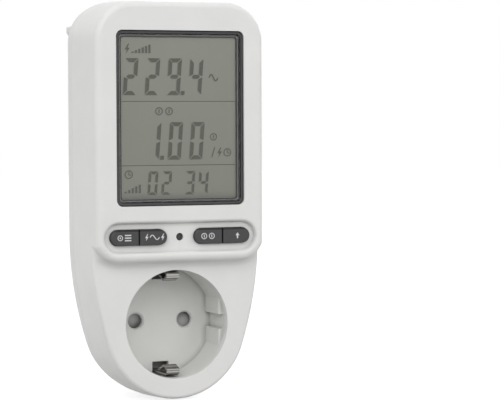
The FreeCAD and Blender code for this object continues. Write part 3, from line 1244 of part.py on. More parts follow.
def socket_insert():
    body = new_body("socket_insert")
    front = "(lower_depth - shell_wall - rest_gap)"
    barrel = front_sketch(body, "barrel_outline", "insert_back")
    circle(barrel, "well_radius + well_wall")
    pad(body, "barrel", barrel, "%s - insert_back" % front)
    ears = front_sketch(body, "ear_outline", "insert_back", "0", "ear_side")
    pill(ears, "2 * (ear_side + ear_radius)", "2 * ear_radius")
    pad(body, "ears", ears, "well_floor")

    # Round mouth, then flats with a notch on both sides of the well
    mouth = front_sketch(body, "mouth_outline", front)
    circle(mouth, "well_radius")
    pocket(body, "mouth", mouth, "rib_sink")
    rib_front = "(%s - rib_sink)" % front
    well = front_sketch(body, "well_outline", rib_front)
    flat_circle(well, "well_radius", "rib_half_span")
    pocket(body, "well", well, "%s - floor_depth" % rib_front)
    notches = front_sketch(body, "notch_outlines", rib_front)
    rectangle(notches, "-notch_span", "-notch_half", "notch_span", "notch_half")
    pocket(body, "notches", notches, "%s - floor_depth" % rib_front)
    level = size(rib_front)
    half = size("rib_half_span")
    round_edges(body, "rib_rounding", "rib_round", lambda e: at_depth(e, level)
                and e.BoundBox.XLength < 0.01 and abs(abs(e.BoundBox.XMin) - half) < 0.01)

    holes = front_sketch(body, "hole_outlines", "floor_depth")
    circle(holes, "hole_radius", "pitch_half")
    circle(holes, "hole_radius", "-pitch_half")
    pocket(body, "socket_holes", holes, "well_floor + over")
    floor = size("floor_depth")
    reach = size("hole_radius")
    round_edges(body, "socket_hole_leads", "hole_lead", lambda e: at_depth(e, floor)
                and abs(e.BoundBox.ZMin + reach) < 0.01 and abs(e.BoundBox.ZMax - reach) < 0.01, kind="Chamfer")
    slots = front_sketch(body, "clip_slot_outlines", "floor_depth")
    edge = "sqrt(well_radius^2 - slot_half^2) - 0.05"
    rectangle(slots, "-slot_half", "slot_start", "slot_half", edge)
    rectangle(slots, "-slot_half", "-(%s)" % edge, "slot_half", "-slot_start")
    pocket(body, "clip_slots", slots, "well_floor + over")
    pilots = front_sketch(body, "ear_hole_outlines", "floor_depth")
    circle(pilots, "small_screw_radius + screw_gap", "ear_side", "ear_side")
    circle(pilots, "small_screw_radius + screw_gap", "-ear_side", "ear_side")
    pocket(body, "ear_holes", pilots, "well_floor + over")
    pivot = front_sketch(body, "pivot_outline", "insert_back - rotor_gap - rotor_thick - pivot_spare")
    circle(pivot, "pivot_radius")
    pad(body, "pivot", pivot, "rotor_gap + rotor_thick + pivot_spare + well_floor / 2")


def insert_screws():
    screws = []
    for side in ("", "-"):
        name = "insert_screw_%d" % (len(screws) + 1)
        x = side + "ear_side"
        head = cylinder(name + "_head", "depth", "small_head_radius", "small_head_thick",
                        x, "insert_back - rest_gap - small_head_thick", "ear_side")
        shank = cylinder(name + "_shank", "depth", "small_screw_radius", "small_screw_length + well_floor",
                         x, "insert_back - rest_gap - small_head_thick / 2", "ear_side")
        screws.append(fuse(name, [head, shank]))
    finish(group("insert_screws", screws), "insert_screws")


def contact_carrier():
    """Plate behind the socket insert: it carries the contacts and closes the shutter's room."""
    body = new_body("contact_carrier")
    disc = front_sketch(body, "carrier_outline", "carrier_depth")
    circle(disc, "carrier_radius")
    pad(body, "carrier", disc, "carrier_plate")
    rim = front_sketch(body, "carrier_rim_outline", "plate_front")
    circle(rim, "carrier_radius")
    circle(rim, "carrier_radius - carrier_rim")
    pad(body, "rim", rim, "insert_back - rest_gap - plate_front")
    holes = front_sketch(body, "sleeve_hole_outlines", "plate_front")
    circle(holes, "sleeve_radius + fit_gap", "pitch_half")
    circle(holes, "sleeve_radius + fit_gap", "-pitch_half")
    for sign in ("", "-"):
        inner = "%s(earth_level - strap_thick / 2 - fit_gap)" % sign
        outer = "%s(earth_level + strap_thick / 2 + fit_gap)" % sign
        low, high = (inner, outer) if sign == "" else (outer, inner)
        rectangle(holes, "-earth_wide / 2 - fit_gap", low, "earth_wide / 2 + fit_gap", high)
    pocket(body, "carrier_openings", holes, "carrier_plate + over")


def shutter():
    """Bar that covers both pin holes and turns aside about a pivot on the socket axis."""
    rotor_front = "(insert_back - rotor_gap)"
    rotor_back = "(insert_back - rotor_gap - rotor_thick)"
    body = new_body("shutter_rotor")
    outline = front_sketch(body, "rotor_outline", rotor_back)
    pill(outline, "2 * rotor_reach", "2 * rotor_half")
    pad(body, "rotor", outline, "%s - %s" % (rotor_front, rotor_back))
    for sign, name in (("", "right"), ("-", "left")):
        ramp = side_sketch(body, "ramp_outline_" + name, sign + "ramp_start")
        foot, edge = sign + "(-ramp_foot)", sign + "(rotor_half + over)"
        fall = "ramp_rise * (1 + over / (rotor_half + ramp_foot))"
        polygon(ramp, [("-(%s)" % rotor_front, foot), ("-(%s)" % rotor_front, edge),
                       ("-(%s) + %s" % (rotor_front, fall), edge)])
        pocket(body, "ramp_" + name, ramp, "rotor_reach", backward=(sign == ""))
    hole = front_sketch(body, "rotor_hole_outline", rotor_front)
    circle(hole, "pivot_radius + pivot_gap")
    pocket(body, "rotor_hole", hole, "rotor_thick + over")
    seat = front_sketch(body, "spring_seat_outline", rotor_back)
    circle(seat, "coil_seat_radius")
    pocket(body, "spring_seat", seat, "coil_seat_depth", backward=True)

    # Coil spring round the pivot, in the rotor's seat
    body = new_body("shutter_spring")
    section = side_sketch(body, "spring_section")
    circle(section, "coil_wire / 2", "-(plate_front + rest_gap + coil_wire / 2)",
           "coil_radius - coil_wire / 2")
    coil = body.newObject("PartDesign::AdditiveHelix", "spring_coil")
    coil.Profile = section
    coil.ReferenceAxis = (section, ["H_Axis"])
    coil.Mode = "pitch-turns-angle"
    bind(coil, "Pitch", "coil_pitch")
    bind(coil, "Turns", "coil_turns")
    coil.Reversed = True
    doc.recompute()


def contacts():
    """Slit sleeves for the pins of a plug, each with a strap up to the power board."""
    front = "(plate_front - sleeve_sink)"
    back = "(%s - sleeve_length)" % front
    collar_front = "(carrier_depth - rest_gap)"
    for name, side in (("live_contact", "-"), ("neutral_contact", "")):
        body = new_body(name)
        x = side + "pitch_half"
        tube = front_sketch(body, name + "_outline", back, x)
        circle(tube, "sleeve_radius")
        pad(body, name + "_tube", tube, "sleeve_length")
        collar = front_sketch(body, name + "_collar_outline", "%s - strap_thick" % collar_front, x)
        circle(collar, "collar_radius")
        pad(body, name + "_collar", collar, "strap_thick")
        strap = front_sketch(body, name + "_strap_outline", "%s - strap_thick" % collar_front)
        rectangle(strap, x + " - tab_wide / 2", "0", x + " + tab_wide / 2", "tab_end")
        pad(body, name + "_strap", strap, "strap_thick")
        bore = front_sketch(body, name + "_bore_outline", front, x)
        circle(bore, "sleeve_bore")
        pocket(body, name + "_bore", bore, "sleeve_length + over")
        slit = front_sketch(body, name + "_slit_outline", back, x)
        rectangle(slit, "-sleeve_slit / 2", "-sleeve_radius - over", "sleeve_slit / 2", "sleeve_radius + over")
        pocket(body, name + "_slit", slit, "slit_length", backward=True)


def prongs():
    """Prongs of the plug and the straps that carry their current to the power board."""
    collar_back = "prong_inner - prong_collar_thick"
    tip = "nose_length + prong_length"
    for name, side in (("live_pin", "-"), ("neutral_pin", "")):
        body = new_body(name)
        revolve_about_y(body, name + "_turning", [
            ("0", "stud_end"), ("0", tip), ("prong_radius", tip), ("prong_radius", "nose_length"),
            ("prong_radius + prong_root", "nose_length"), ("prong_radius + prong_root", "prong_inner"),
            ("prong_radius + prong_collar", "prong_inner"), ("prong_radius + prong_collar", collar_back),
            ("prong_radius - stud_inset", collar_back), ("prong_radius - stud_inset", "stud_end")],
            side + "pitch_half")
        end = size(tip)
        round_edges(body, name + "_tip", "prong_radius - prong_tip", lambda e: at_depth(e, -end))
    for name, side in (("live_pin_strap", "-"), ("neutral_pin_strap", "")):
        level = "-(power_board_depth - board_thick - rest_gap - strap_thick / 2)"
        strap = bent_strip(name, [
            ("strap_root", "-tab_wide / 2"), ("strap_root", "strap_level"), (level, "strap_level"),
            (level, "tab_end")], "tab_wide", "strap_thick", side + "pitch_half")
        finish(strap, name)


def earth_strap():
    """One pressed strip: clips in the well, a bridge behind the carrier, contacts on the plug."""
    tip = "-(lower_depth - clip_sink)"
    arm = [("-earth_back", "earth_level"), ("-(lower_depth - clip_shoulder)", "earth_level"),
           (tip, "earth_level - clip_lean"), (tip, "earth_level - clip_lean - clip_nose"),
           ("-(lower_depth - clip_inner)", "earth_level - clip_bulge"),
           ("-(floor_depth + clip_tail)", "earth_level - clip_return")]
    corners = [(y, "-(%s)" % z) for y, z in reversed(arm)] + arm
    strip = bent_strip("earth_clips", corners, "earth_wide", "strap_thick")
    pieces = [strip]
    for name, z0, z1 in (("upper", "arm_level - strap_thick / 2", "arm_level + strap_thick / 2"),
                         ("lower", "-arm_level - strap_thick / 2", "-arm_level + strap_thick / 2")):
        pieces.append(box("earth_contact_" + name, "-earth_wide / 2", "earth_wide / 2",
                          "arm_short - nose_length", "earth_back", z0, z1))
    finish(fuse("earth_strap", pieces), "earth_strap")


# Power board


def power_board():
    body = new_body("power_board")
    outline = front_sketch(body, "power_board_outline", "power_board_depth - board_thick", "0",
                           "(board_low + board_high) / 2")
    round_rect(outline, "2 * power_half_width", "board_high - board_low", "board_corner")
    pad(body, "power_board_plate", outline, "board_thick")
    holes = front_sketch(body, "power_board_holes", "power_board_depth")
    for side in ("", "-"):
        for height in ("foot_low", "foot_high"):
            circle(holes, "small_screw_radius + screw_gap", side + "foot_side", height)
    pocket(body, "power_board_drilling", holes, "board_thick + over")


def power_parts():
    """Components that stand on the front of the power board."""
    face = "(power_board_depth + rest_gap)"

    body = new_body("film_capacitor")
    outline = front_sketch(body, "film_outline", face, "film_side", "film_height")
    round_rect(outline, "film_wide", "film_tall", "film_round")
    pad(body, "film_box", outline, "film_deep")
    front = size(face + " + film_deep")
    round_edges(body, "film_rounding", "film_round", lambda e: at_depth(e, front))

    # A component on leads: body and leads in one piece
    middle = face + " + lead_length + varistor_radius"
    disc = cylinder("varistor_disc", "x", "varistor_radius", "varistor_thick", "varistor_side", middle, "varistor_height")
    leads = [cylinder("varistor_lead_%d" % (step + 2), "depth", "lead_radius", "lead_length + varistor_radius",
                      "varistor_side + varistor_thick / 2", face, "varistor_height %+d * varistor_radius / 2" % step)
             for step in (-1, 1)]
    finish(fuse("varistor_whole", [disc] + leads), "varistor")

    cans = []
    for level in ("can_low", "can_high"):
        body = cylinder(level + "_body", "depth", "can_radius", "can_length", "can_side", face, level)
        outer = cylinder(level + "_groove_outer", "depth", "can_radius + over", "can_groove * 2", "can_side",
                         face + " + can_groove * 3", level)
        inner = cylinder(level + "_groove_inner", "depth", "can_radius - can_groove", "can_groove * 2", "can_side",
                         face + " + can_groove * 3", level)
        cans.append(cut(level + "_can", body, cut(level + "_groove", outer, inner)))
    finish(group("cans", cans), "electrolytic_capacitors")

    body = new_body("metering_chip")
    outline = front_sketch(body, "chip_outline", face, "chip_side", "chip_height")
    round_rect(outline, "chip_wide", "chip_tall", "chip_bevel")
    pad(body, "chip_box", outline, "chip_thick")
    front = size(face + " + chip_thick")
    round_edges(body, "chip_bevels", "chip_bevel / 2", lambda e: at_depth(e, front), kind="Chamfer")

    middle = face + " + lead_length + dropper_radius"
    neck = cylinder("dropper_neck_rod", "x", "dropper_radius - dropper_neck", "dropper_length", "dropper_side", middle, "dropper_height")
    pieces = [neck]
    for end, x in (("near", "dropper_side"), ("far", "dropper_side + dropper_length - dropper_radius")):
        pieces.append(cylinder("dropper_cap_" + end, "x", "dropper_radius", "dropper_radius", x, middle, "dropper_height"))
        pieces.append(cylinder("dropper_lead_" + end, "depth", "lead_radius", "lead_length + dropper_radius",
                               x + " + dropper_radius / 2", face, "dropper_height"))
    finish(fuse("dropper_whole", pieces), "dropper_resistor")

    foot = "-(%s + strap_thick / 2)" % face
    top = "-(%s + shunt_rise + strap_thick / 2)" % face
    shunt = bent_strip("shunt_strip", [
        (foot, "shunt_low - shunt_foot"), (foot, "shunt_low"), (top, "shunt_low"), (top, "shunt_high"),
        (foot, "shunt_high"), (foot, "shunt_high + shunt_foot")], "shunt_wide", "strap_thick", "shunt_side")
    finish(shunt, "current_shunt")

    # Three backup cells in one sleeve
    middle = face + " + cell_radius"
    pieces = [cylinder("cell_core", "x", "cell_core", "2 * cell_pitch + cell_thick", "cell_side", middle, "cell_height")]
    for step in range(3):
        pieces.append(cylinder("cell_%d" % (step + 1), "x", "cell_radius", "cell_thick",
                               "cell_side + %d * cell_pitch" % step, middle, "cell_height"))
    finish(fuse("cell_stack", pieces), "backup_cells")


def board_link():
    """Pins and their two blocks, which join the power board to the display board."""
    low = "(power_board_depth + rest_gap)"
    high = "(display_board_depth - board_thick - rest_gap)"
    count = 6
    rows = ["(%d - %s) * link_step" % (step, (count - 1) / 2) for step in range(count)]
    for name, depth, length in (("link_header", low, "link_block"),
                                ("link_socket_block", "(%s - link_socket)" % high, "link_socket")):
        body = new_body(name)
        outline = front_sketch(body, name + "_outline", depth, "0", "link_height")
        round_rect(outline, "%d * link_step + 2 * link_margin" % (count - 1), "link_tall", "seat_corner")
        pad(body, name + "_box", outline, length)
        if name == "link_header":
            holes, reach, backward = front_sketch(body, name + "_holes", depth + " + link_block"), "link_block + over", False
        else:
            holes, reach, backward = front_sketch(body, name + "_holes", depth), "link_dip + link_play", True
        reach_across = "(link_wire / 2 + link_play)"
        for across in rows:
            rectangle(holes, "%s - %s" % (across, reach_across), "link_height - %s" % reach_across,
                      "%s + %s" % (across, reach_across), "link_height + %s" % reach_across)
        pocket(body, name + "_sockets", holes, reach, backward)
    pins = [box("link_pin_%d" % (step + 1), across + " - link_wire / 2", across + " + link_wire / 2",
                low, high + " - link_socket + link_dip", "link_height - link_wire / 2", "link_height + link_wire / 2")
            for step, across in enumerate(rows)]
    finish(group("link_pin_row", pins), "link_pins")


# Build, check and write every piece

front_housing()
rear_cover()
plug_body()
housing_screws()
board_screws()
window_bezel()
display_window()
display_glass()
display_holder()
display_board()
keypad_mat()
keys()
socket_insert()
insert_screws()
contact_carrier()
shutter()
contacts()
prongs()
earth_strap()
power_board()
power_parts()
board_link()
doc.recompute()

problems = []
for obj in doc.Objects:
    if "Invalid" in obj.State or "Error" in obj.State:
        problems.append("%s: state %s" % (obj.Name, obj.State))
for obj in PARTS:
    if obj.Shape.isNull() or not obj.Shape.isValid() or not obj.Shape.Solids:
        problems.append("%s: no valid solid" % obj.Label)
    if obj.TypeId != "PartDesign::Body":
        continue
    if len(obj.Shape.Solids) != 1:
        problems.append("%s: %d solids" % (obj.Label, len(obj.Shape.Solids)))
    volume = 0.0
    for feature in obj.Group:
        if not feature.isDerivedFrom("PartDesign::Feature"):
            continue
        cuts = feature.isDerivedFrom("PartDesign::Pocket")
        adds = feature.isDerivedFrom("PartDesign::Pad") or feature.isDerivedFrom("PartDesign::Revolution")
        changed = feature.Shape.Volume - volume
        if (cuts and changed > -1e-3) or (adds and changed < 1e-3) or abs(changed) < 1e-6:
            problems.append("%s: %s changes the volume by %.4f" % (obj.Label, feature.Name, changed))
        volume = feature.Shape.Volume
if problems:
    raise RuntimeError("; ".join(problems))

os.makedirs("parts", exist_ok=True)
for obj in PARTS:
    obj.Shape.exportStep("parts/%s.step" % obj.Label)
    extent = obj.Shape.optimalBoundingBox()
    print("%-24s %6d mm3  %3d faces  x %.2f %.2f  y %.2f %.2f  z %.2f %.2f" % (
        obj.Label, obj.Shape.Volume, len(obj.Shape.Faces), extent.XMin, extent.XMax,
        extent.YMin, extent.YMax, extent.ZMin, extent.ZMax))
print(len(PARTS), "pieces")
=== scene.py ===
import json
import math

import bmesh
import bpy
from mathutils import Matrix, Vector

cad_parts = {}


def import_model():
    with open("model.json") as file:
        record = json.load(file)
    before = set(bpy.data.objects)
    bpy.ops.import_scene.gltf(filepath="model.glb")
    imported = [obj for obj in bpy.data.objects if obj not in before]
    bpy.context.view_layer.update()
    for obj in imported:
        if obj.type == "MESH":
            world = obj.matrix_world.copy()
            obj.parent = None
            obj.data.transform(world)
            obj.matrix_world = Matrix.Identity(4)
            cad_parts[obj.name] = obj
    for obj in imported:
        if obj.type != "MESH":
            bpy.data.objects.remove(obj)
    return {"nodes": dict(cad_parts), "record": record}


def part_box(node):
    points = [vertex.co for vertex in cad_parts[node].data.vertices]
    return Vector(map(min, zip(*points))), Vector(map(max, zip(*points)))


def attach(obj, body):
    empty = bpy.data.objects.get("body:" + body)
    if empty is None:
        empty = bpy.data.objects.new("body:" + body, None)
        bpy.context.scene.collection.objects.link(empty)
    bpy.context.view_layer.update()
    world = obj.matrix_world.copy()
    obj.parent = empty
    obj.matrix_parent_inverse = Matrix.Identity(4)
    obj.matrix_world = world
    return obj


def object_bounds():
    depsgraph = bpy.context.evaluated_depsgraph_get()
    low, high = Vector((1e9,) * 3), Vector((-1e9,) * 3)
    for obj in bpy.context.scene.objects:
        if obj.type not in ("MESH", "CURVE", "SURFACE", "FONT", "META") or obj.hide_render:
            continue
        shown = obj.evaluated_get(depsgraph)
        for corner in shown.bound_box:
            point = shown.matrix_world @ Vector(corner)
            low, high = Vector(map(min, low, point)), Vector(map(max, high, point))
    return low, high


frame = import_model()

# Plug-in energy meter, in metres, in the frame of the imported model: +Z up, the display towards -Y.

CAD_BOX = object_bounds()
NODES = frame["nodes"]
MM = 0.001

# Camera, solved from the photograph's edges: place in metres, turns in degrees, lens and sensor in mm
CAMERA_PLACE = (-0.278184, -0.766892, 0.07372)
CAMERA_YAW = 22.673
CAMERA_DROP = 2.143
CAMERA_ROLL = -0.233
CAMERA_LENS = 158.4
CAMERA_NEAR = 0.05
SENSOR_WIDE = 36.0

# Light: strength of the world, and lamps by name, place in metres, width, height and power in watts
AMBIENT = 0.57
LAMP_AIM = (0.0, 0.0, 0.05)
LAMPS = (
    ("key_light", (-0.55, -0.95, 0.75), 0.9, 0.9, 5.7),
    ("fill_light", (0.75, -0.85, 0.35), 0.9, 0.9, 3.2),
    ("side_light", (-1.15, -0.10, 0.30), 0.9, 0.9, 2.1),
    ("top_light", (0.0, 0.05, 1.05), 0.9, 0.6, 0.5),
    ("rear_light", (0.75, 0.95, 0.60), 0.9, 0.9, 2.8),
)
UNMIRRORED_LAMP = "fill_light"

# Floor: width in metres, share of light it sends back, and its own glow
FLOOR_WIDE = 6.0
FLOOR_SHADE = 0.4
FLOOR_GLOW = 0.8

# Display, in mm. Figures lean by FIGURE_SLANT degrees
FIGURE_SLANT = 4.5
FIGURE_GAP = 0.18
INK_LIFT = 0.02
# Offset of the painted shadow of the figures and signs, in mm
SEGMENT_SHADOW_SHIFT = (-0.35, -0.22)
RULE_HALF = 21.5
RULE_THICK = 0.28
RULE_LEVELS = (5.95, -16.7)

# Rows of figures: text, then start, foot, width, height, bar and step in mm from the display's middle
FIGURE_ROWS = (
    ("229.4", -21.0, 8.2, 5.0, 13.0, 1.45, 8.2),
    ("1.00", -12.5, -14.7, 5.0, 13.3, 1.45, 8.2),
    ("02", -12.0, -27.2, 3.6, 8.4, 1.0, 5.2),
    ("34", 2.0, -27.2, 3.6, 8.4, 1.0, 5.2),
)

# Shade along the display's lower edge: from and to, in mm over the window's foot, and its strength
EDGE_SHADE_FROM = 1.4
EDGE_SHADE_TO = 3.6
EDGE_SHADE = 0.55

# Bead on the bezel's ledge, in mm from the edge of the clear window
BEAD_INSET = 0.35
BEAD_WIDE = 0.36
BEAD_RISE = 0.10
BEAD_CORNER = 0.9

# Keys, in mm. Points of a key that lie within FACE_DEPTH of its front belong to its face
SIGN_LIFT = 0.015
SIGN_TALL = 2.3
# Height of the painted shadow along a key's upper rim, in mm
KEY_RIM_SHADOW = 0.42
FACE_DEPTH = 0.1

# Cross ribs of the earth clips: scale of their wave, which sets them 0.9 mm apart, and depth in mm
RIB_SCALE = 350.0
RIB_DEPTH = 0.08

# Bevels on sharp edges of CAD nodes: widths in mm, angles in degrees
SOFT_EDGES = (
    ("key_1", 0.22), ("key_2", 0.22), ("key_3", 0.22), ("key_4", 0.22),
    ("window_bezel", 0.12), ("earth_strap", 0.08), ("reset_button", 0.12),
)
BEVEL_STEPS = 2
SHARP_FROM = 50
FLAT_BELOW = 0.5


# Shader building


def new_material(name):
    """A material with its node tree and its shader."""
    material = bpy.data.materials.new(name)
    material.use_nodes = True
    return material, material.node_tree, material.node_tree.nodes["Principled BSDF"]


def noise(tree, cells, detail=3.0, stretch=(1.0, 1.0, 1.0)):
    """Noise over the piece's own coordinates, with so many cells for each metre."""
    coords = tree.nodes.new("ShaderNodeTexCoord")
    mapping = tree.nodes.new("ShaderNodeMapping")
    mapping.inputs["Scale"].default_value = stretch
    texture = tree.nodes.new("ShaderNodeTexNoise")
    texture.inputs["Scale"].default_value = cells
    texture.inputs["Detail"].default_value = detail
    tree.links.new(coords.outputs["Object"], mapping.inputs["Vector"])
    tree.links.new(mapping.outputs["Vector"], texture.inputs["Vector"])
    return texture.outputs["Fac"]


def ramp(tree, value, start, end, low, high):
    """A value between start and end, mapped onto low to high, and held at its ends."""
    node = tree.nodes.new("ShaderNodeMapRange")
    node.inputs["From Min"].default_value = start
    node.inputs["From Max"].default_value = end
    node.inputs["To Min"].default_value = low
    node.inputs["To Max"].default_value = high
    tree.links.new(value, node.inputs["Value"])
    return node.outputs["Result"]


def spread(tree, value, low=0.0, high=1.0):
    """Noise values around a half, mapped onto a range of numbers."""
    return ramp(tree, value, 0.3, 0.7, low, high)


def height_on_piece(tree, kind):
    """Height on a piece: in metres for Object coordinates, a share for Generated ones."""
    coords = tree.nodes.new("ShaderNodeTexCoord")
    split = tree.nodes.new("ShaderNodeSeparateXYZ")
    tree.links.new(coords.outputs[kind], split.inputs["Vector"])
    return split.outputs["Z"]


def mixed(tree, factor, first, second, kind="MIX"):
    """Mix of two colours, each a colour or an output."""
    node = tree.nodes.new("ShaderNodeMix")
    node.data_type = "RGBA"
    node.blend_type = kind
    inputs = [socket for socket in node.inputs if socket.type == "RGBA"]
    for socket, colour in zip(inputs, (first, second)):
        if isinstance(colour, bpy.types.NodeSocket):
            tree.links.new(colour, socket)
        else:
            socket.default_value = (*colour, 1.0)
    if isinstance(factor, bpy.types.NodeSocket):
        tree.links.new(factor, node.inputs["Factor"])
    else:
        node.inputs["Factor"].default_value = factor
    return [socket for socket in node.outputs if socket.type == "RGBA"][0]


def bump(tree, shader, height, depth, under=None):
    """Relief of a depth in mm on a shader, over another relief if one is given."""
    node = tree.nodes.new("ShaderNodeBump")
    node.inputs["Distance"].default_value = depth * MM
    tree.links.new(height, node.inputs["Height"])
    if under is not None:
        tree.links.new(under, node.inputs["Normal"])
    tree.links.new(node.outputs["Normal"], shader.inputs["Normal"])
    return node.outputs["Normal"]


def crevice_shade(tree, reach):
    """Painted shade: white on open faces, darker in grooves and corners within a reach in mm."""
    node = tree.nodes.new("ShaderNodeAmbientOcclusion")
    node.samples = 8
    node.inputs["Distance"].default_value = reach * MM
    return node.outputs["Color"]


def scaled(colour, share):
    """A colour made darker or lighter, at most white."""
    return tuple(min(1.0, part * share) for part in colour)


def base_colour(shader):
    """The output that feeds a shader's base colour."""
    return shader.inputs["Base Color"].links[0].from_socket


# Materials


def moulded_plastic(
        name, colour, roughness, grain=0.012, cloud=0.02, corner_shade=0.35, glow=0.0, reach=1.2):
    """Moulded plastic: faint clouds in its colour, a fine spark-eroded grain and painted shade in its
    grooves and corners.
    """
    material, tree, shader = new_material(name)
    clouds = spread(tree, noise(tree, cells=70.0, detail=4.0))
    tint = mixed(tree, clouds, scaled(colour, 1.0 - cloud), scaled(colour, 1.0 + cloud))
    # Painted shade: the colour darkens in grooves and corners within the reach
    tint = mixed(tree, corner_shade, tint, crevice_shade(tree, reach), "MULTIPLY")
    tree.links.new(tint, shader.inputs["Base Color"])
    rough = spread(tree, noise(tree, cells=240.0, detail=2.0), roughness - 0.04, roughness + 0.04)
    tree.links.new(rough, shader.inputs["Roughness"])
    waves = bump(tree, shader, noise(tree, cells=55.0, detail=1.0), 0.03)
    bump(tree, shader, noise(tree, cells=3200.0, detail=2.0), grain, waves)
    if glow:
        shader.inputs["Subsurface Weight"].default_value = glow
        shader.inputs["Subsurface Radius"].default_value = (1.2, 1.0, 0.9)
        shader.inputs["Subsurface Scale"].default_value = 0.6 * MM
    return material


def key_plastic(name, colour):
    """Moulded key plastic with a painted shadow along the upper rim, where the key meets its opening."""
    material = moulded_plastic(name, colour, 0.40, grain=0.010, cloud=0.06, corner_shade=0.2)
    tree = material.node_tree
    shader = tree.nodes["Principled BSDF"]
    points = [point.co for point in NODES["key_1"].data.vertices]
    front = min(point.y for point in points)
    top = max(point.z for point in points if point.y < front + FACE_DEPTH * MM)
    start, end = top - KEY_RIM_SHADOW * MM, top - 0.6 * KEY_RIM_SHADOW * MM
    rim = ramp(tree, height_on_piece(tree, "Object"), start, end, 0.0, 1.0)
    # Painted shadow of the gap round the key: near black along its upper rim
    tint = mixed(tree, rim, base_colour(shader), (0.004, 0.004, 0.004))
    tree.links.new(tint, shader.inputs["Base Color"])
    return material


def polished_black(name, colour, roughness):
    """Polished dark plastic with fine wiping marks and painted shade in its corners."""
    material, tree, shader = new_material(name)
    marks = spread(tree, noise(tree, cells=900.0, stretch=(1.0, 1.0, 0.12)))
    tint = mixed(tree, marks, colour, scaled(colour, 1.25))
    # Painted shade in corners and grooves, multiplied into the colour
    tint = mixed(tree, 0.85, tint, crevice_shade(tree, 0.9), "MULTIPLY")
    tree.links.new(tint, shader.inputs["Base Color"])
    streaks = noise(tree, cells=1400.0, detail=2.0, stretch=(1.0, 1.0, 0.2))
    rough = spread(tree, streaks, roughness * 0.8, roughness * 1.3)
    tree.links.new(rough, shader.inputs["Roughness"])
    bump(tree, shader, noise(tree, cells=60.0, detail=1.0), 0.015)
    return material


def metal(name, colour, roughness, brushed=(1.0, 1.0, 0.05)):
    """Metal with drawing lines and a little tarnish."""
    material, tree, shader = new_material(name)
    tarnish = spread(tree, noise(tree, cells=160.0, detail=5.0))
    tint = mixed(tree, tarnish, colour, scaled(colour, 0.82))
    tree.links.new(tint, shader.inputs["Base Color"])
    shader.inputs["Metallic"].default_value = 1.0
    grooves = noise(tree, cells=2600.0, detail=2.0, stretch=brushed)
    rough = spread(tree, grooves, roughness * 0.75, roughness * 1.35)
    tree.links.new(rough, shader.inputs["Roughness"])
    bump(tree, shader, grooves, 0.006)
    return material


def ribbed_metal(name, colour, roughness):
    """Plated strip with the pressed cross ribs of a contact clip, with painted shade between the ribs.
    """
    material = metal(name, colour, roughness)
    tree = material.node_tree
    shader = tree.nodes["Principled BSDF"]
    coords = tree.nodes.new("ShaderNodeTexCoord")
    ribs = tree.nodes.new("ShaderNodeTexWave")
    ribs.bands_direction = "Z"
    ribs.inputs["Scale"].default_value = RIB_SCALE
    ribs.inputs["Distortion"].default_value = 0.3
    tree.links.new(coords.outputs["Object"], ribs.inputs["Vector"])
    # Painted shade: the grooves between the ribs darken to 0.35 of the colour
    tint = mixed(tree, ribs.outputs["Fac"], scaled(colour, 0.35), base_colour(shader))
    tree.links.new(tint, shader.inputs["Base Color"])
    bump(tree, shader, ribs.outputs["Fac"], RIB_DEPTH)
    return material


def board_lacquer(name):
    """Green solder resist with the weave of the glass fibre showing faintly."""
    material, tree, shader = new_material(name)
    along = noise(tree, cells=700.0, detail=1.0, stretch=(1.0, 1.0, 0.08))
    across = noise(tree, cells=700.0, detail=1.0, stretch=(0.08, 1.0, 1.0))
    weave = mixed(tree, 0.5, along, across)
    tint = mixed(tree, spread(tree, weave), (0.010, 0.085, 0.030), (0.018, 0.130, 0.048))
    tree.links.new(tint, shader.inputs["Base Color"])
    shader.inputs["Roughness"].default_value = 0.32
    bump(tree, shader, weave, 0.01)
    return material


def display_face(name):
    """Front of the liquid crystal display: grey-green, with painted shade that leaves it lighter upward
    and darker at its lower edge.
    """
    material, tree, shader = new_material(name)
    # Painted shade: darker towards the bottom, lighter upward
    field = mixed(tree, height_on_piece(tree, "Generated"), (0.350, 0.353, 0.301), (0.410, 0.413, 0.354))
    blotches = mixed(
        tree, spread(tree, noise(tree, cells=90.0)), (0.34, 0.34, 0.29), (0.52, 0.52, 0.47))
    field = mixed(tree, 0.06, field, blotches)
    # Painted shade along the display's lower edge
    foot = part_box("display_window")[0].z
    start, end = foot + EDGE_SHADE_FROM * MM, foot + EDGE_SHADE_TO * MM
    edge = ramp(tree, height_on_piece(tree, "Object"), start, end, EDGE_SHADE, 0.0)
    field = mixed(tree, edge, field, (0.14, 0.14, 0.12))
    tree.links.new(field, shader.inputs["Base Color"])
    rough = spread(tree, noise(tree, cells=500.0, detail=2.0), 0.34, 0.44)
    tree.links.new(rough, shader.inputs["Roughness"])
    bump(tree, shader, noise(tree, cells=5200.0, detail=2.0), 0.003)
    return material


def display_ink(name, colour):
    """Ink or switched segments, a little uneven as print and liquid crystal are; also the painted shadow
    of the segments.
    """
    material, tree, shader = new_material(name)
    uneven = spread(tree, noise(tree, cells=700.0, detail=2.0))
    tint = mixed(tree, uneven, colour, scaled(colour, 1.12))
    tree.links.new(tint, shader.inputs["Base Color"])
    shader.inputs["Roughness"].default_value = 0.45
    return material


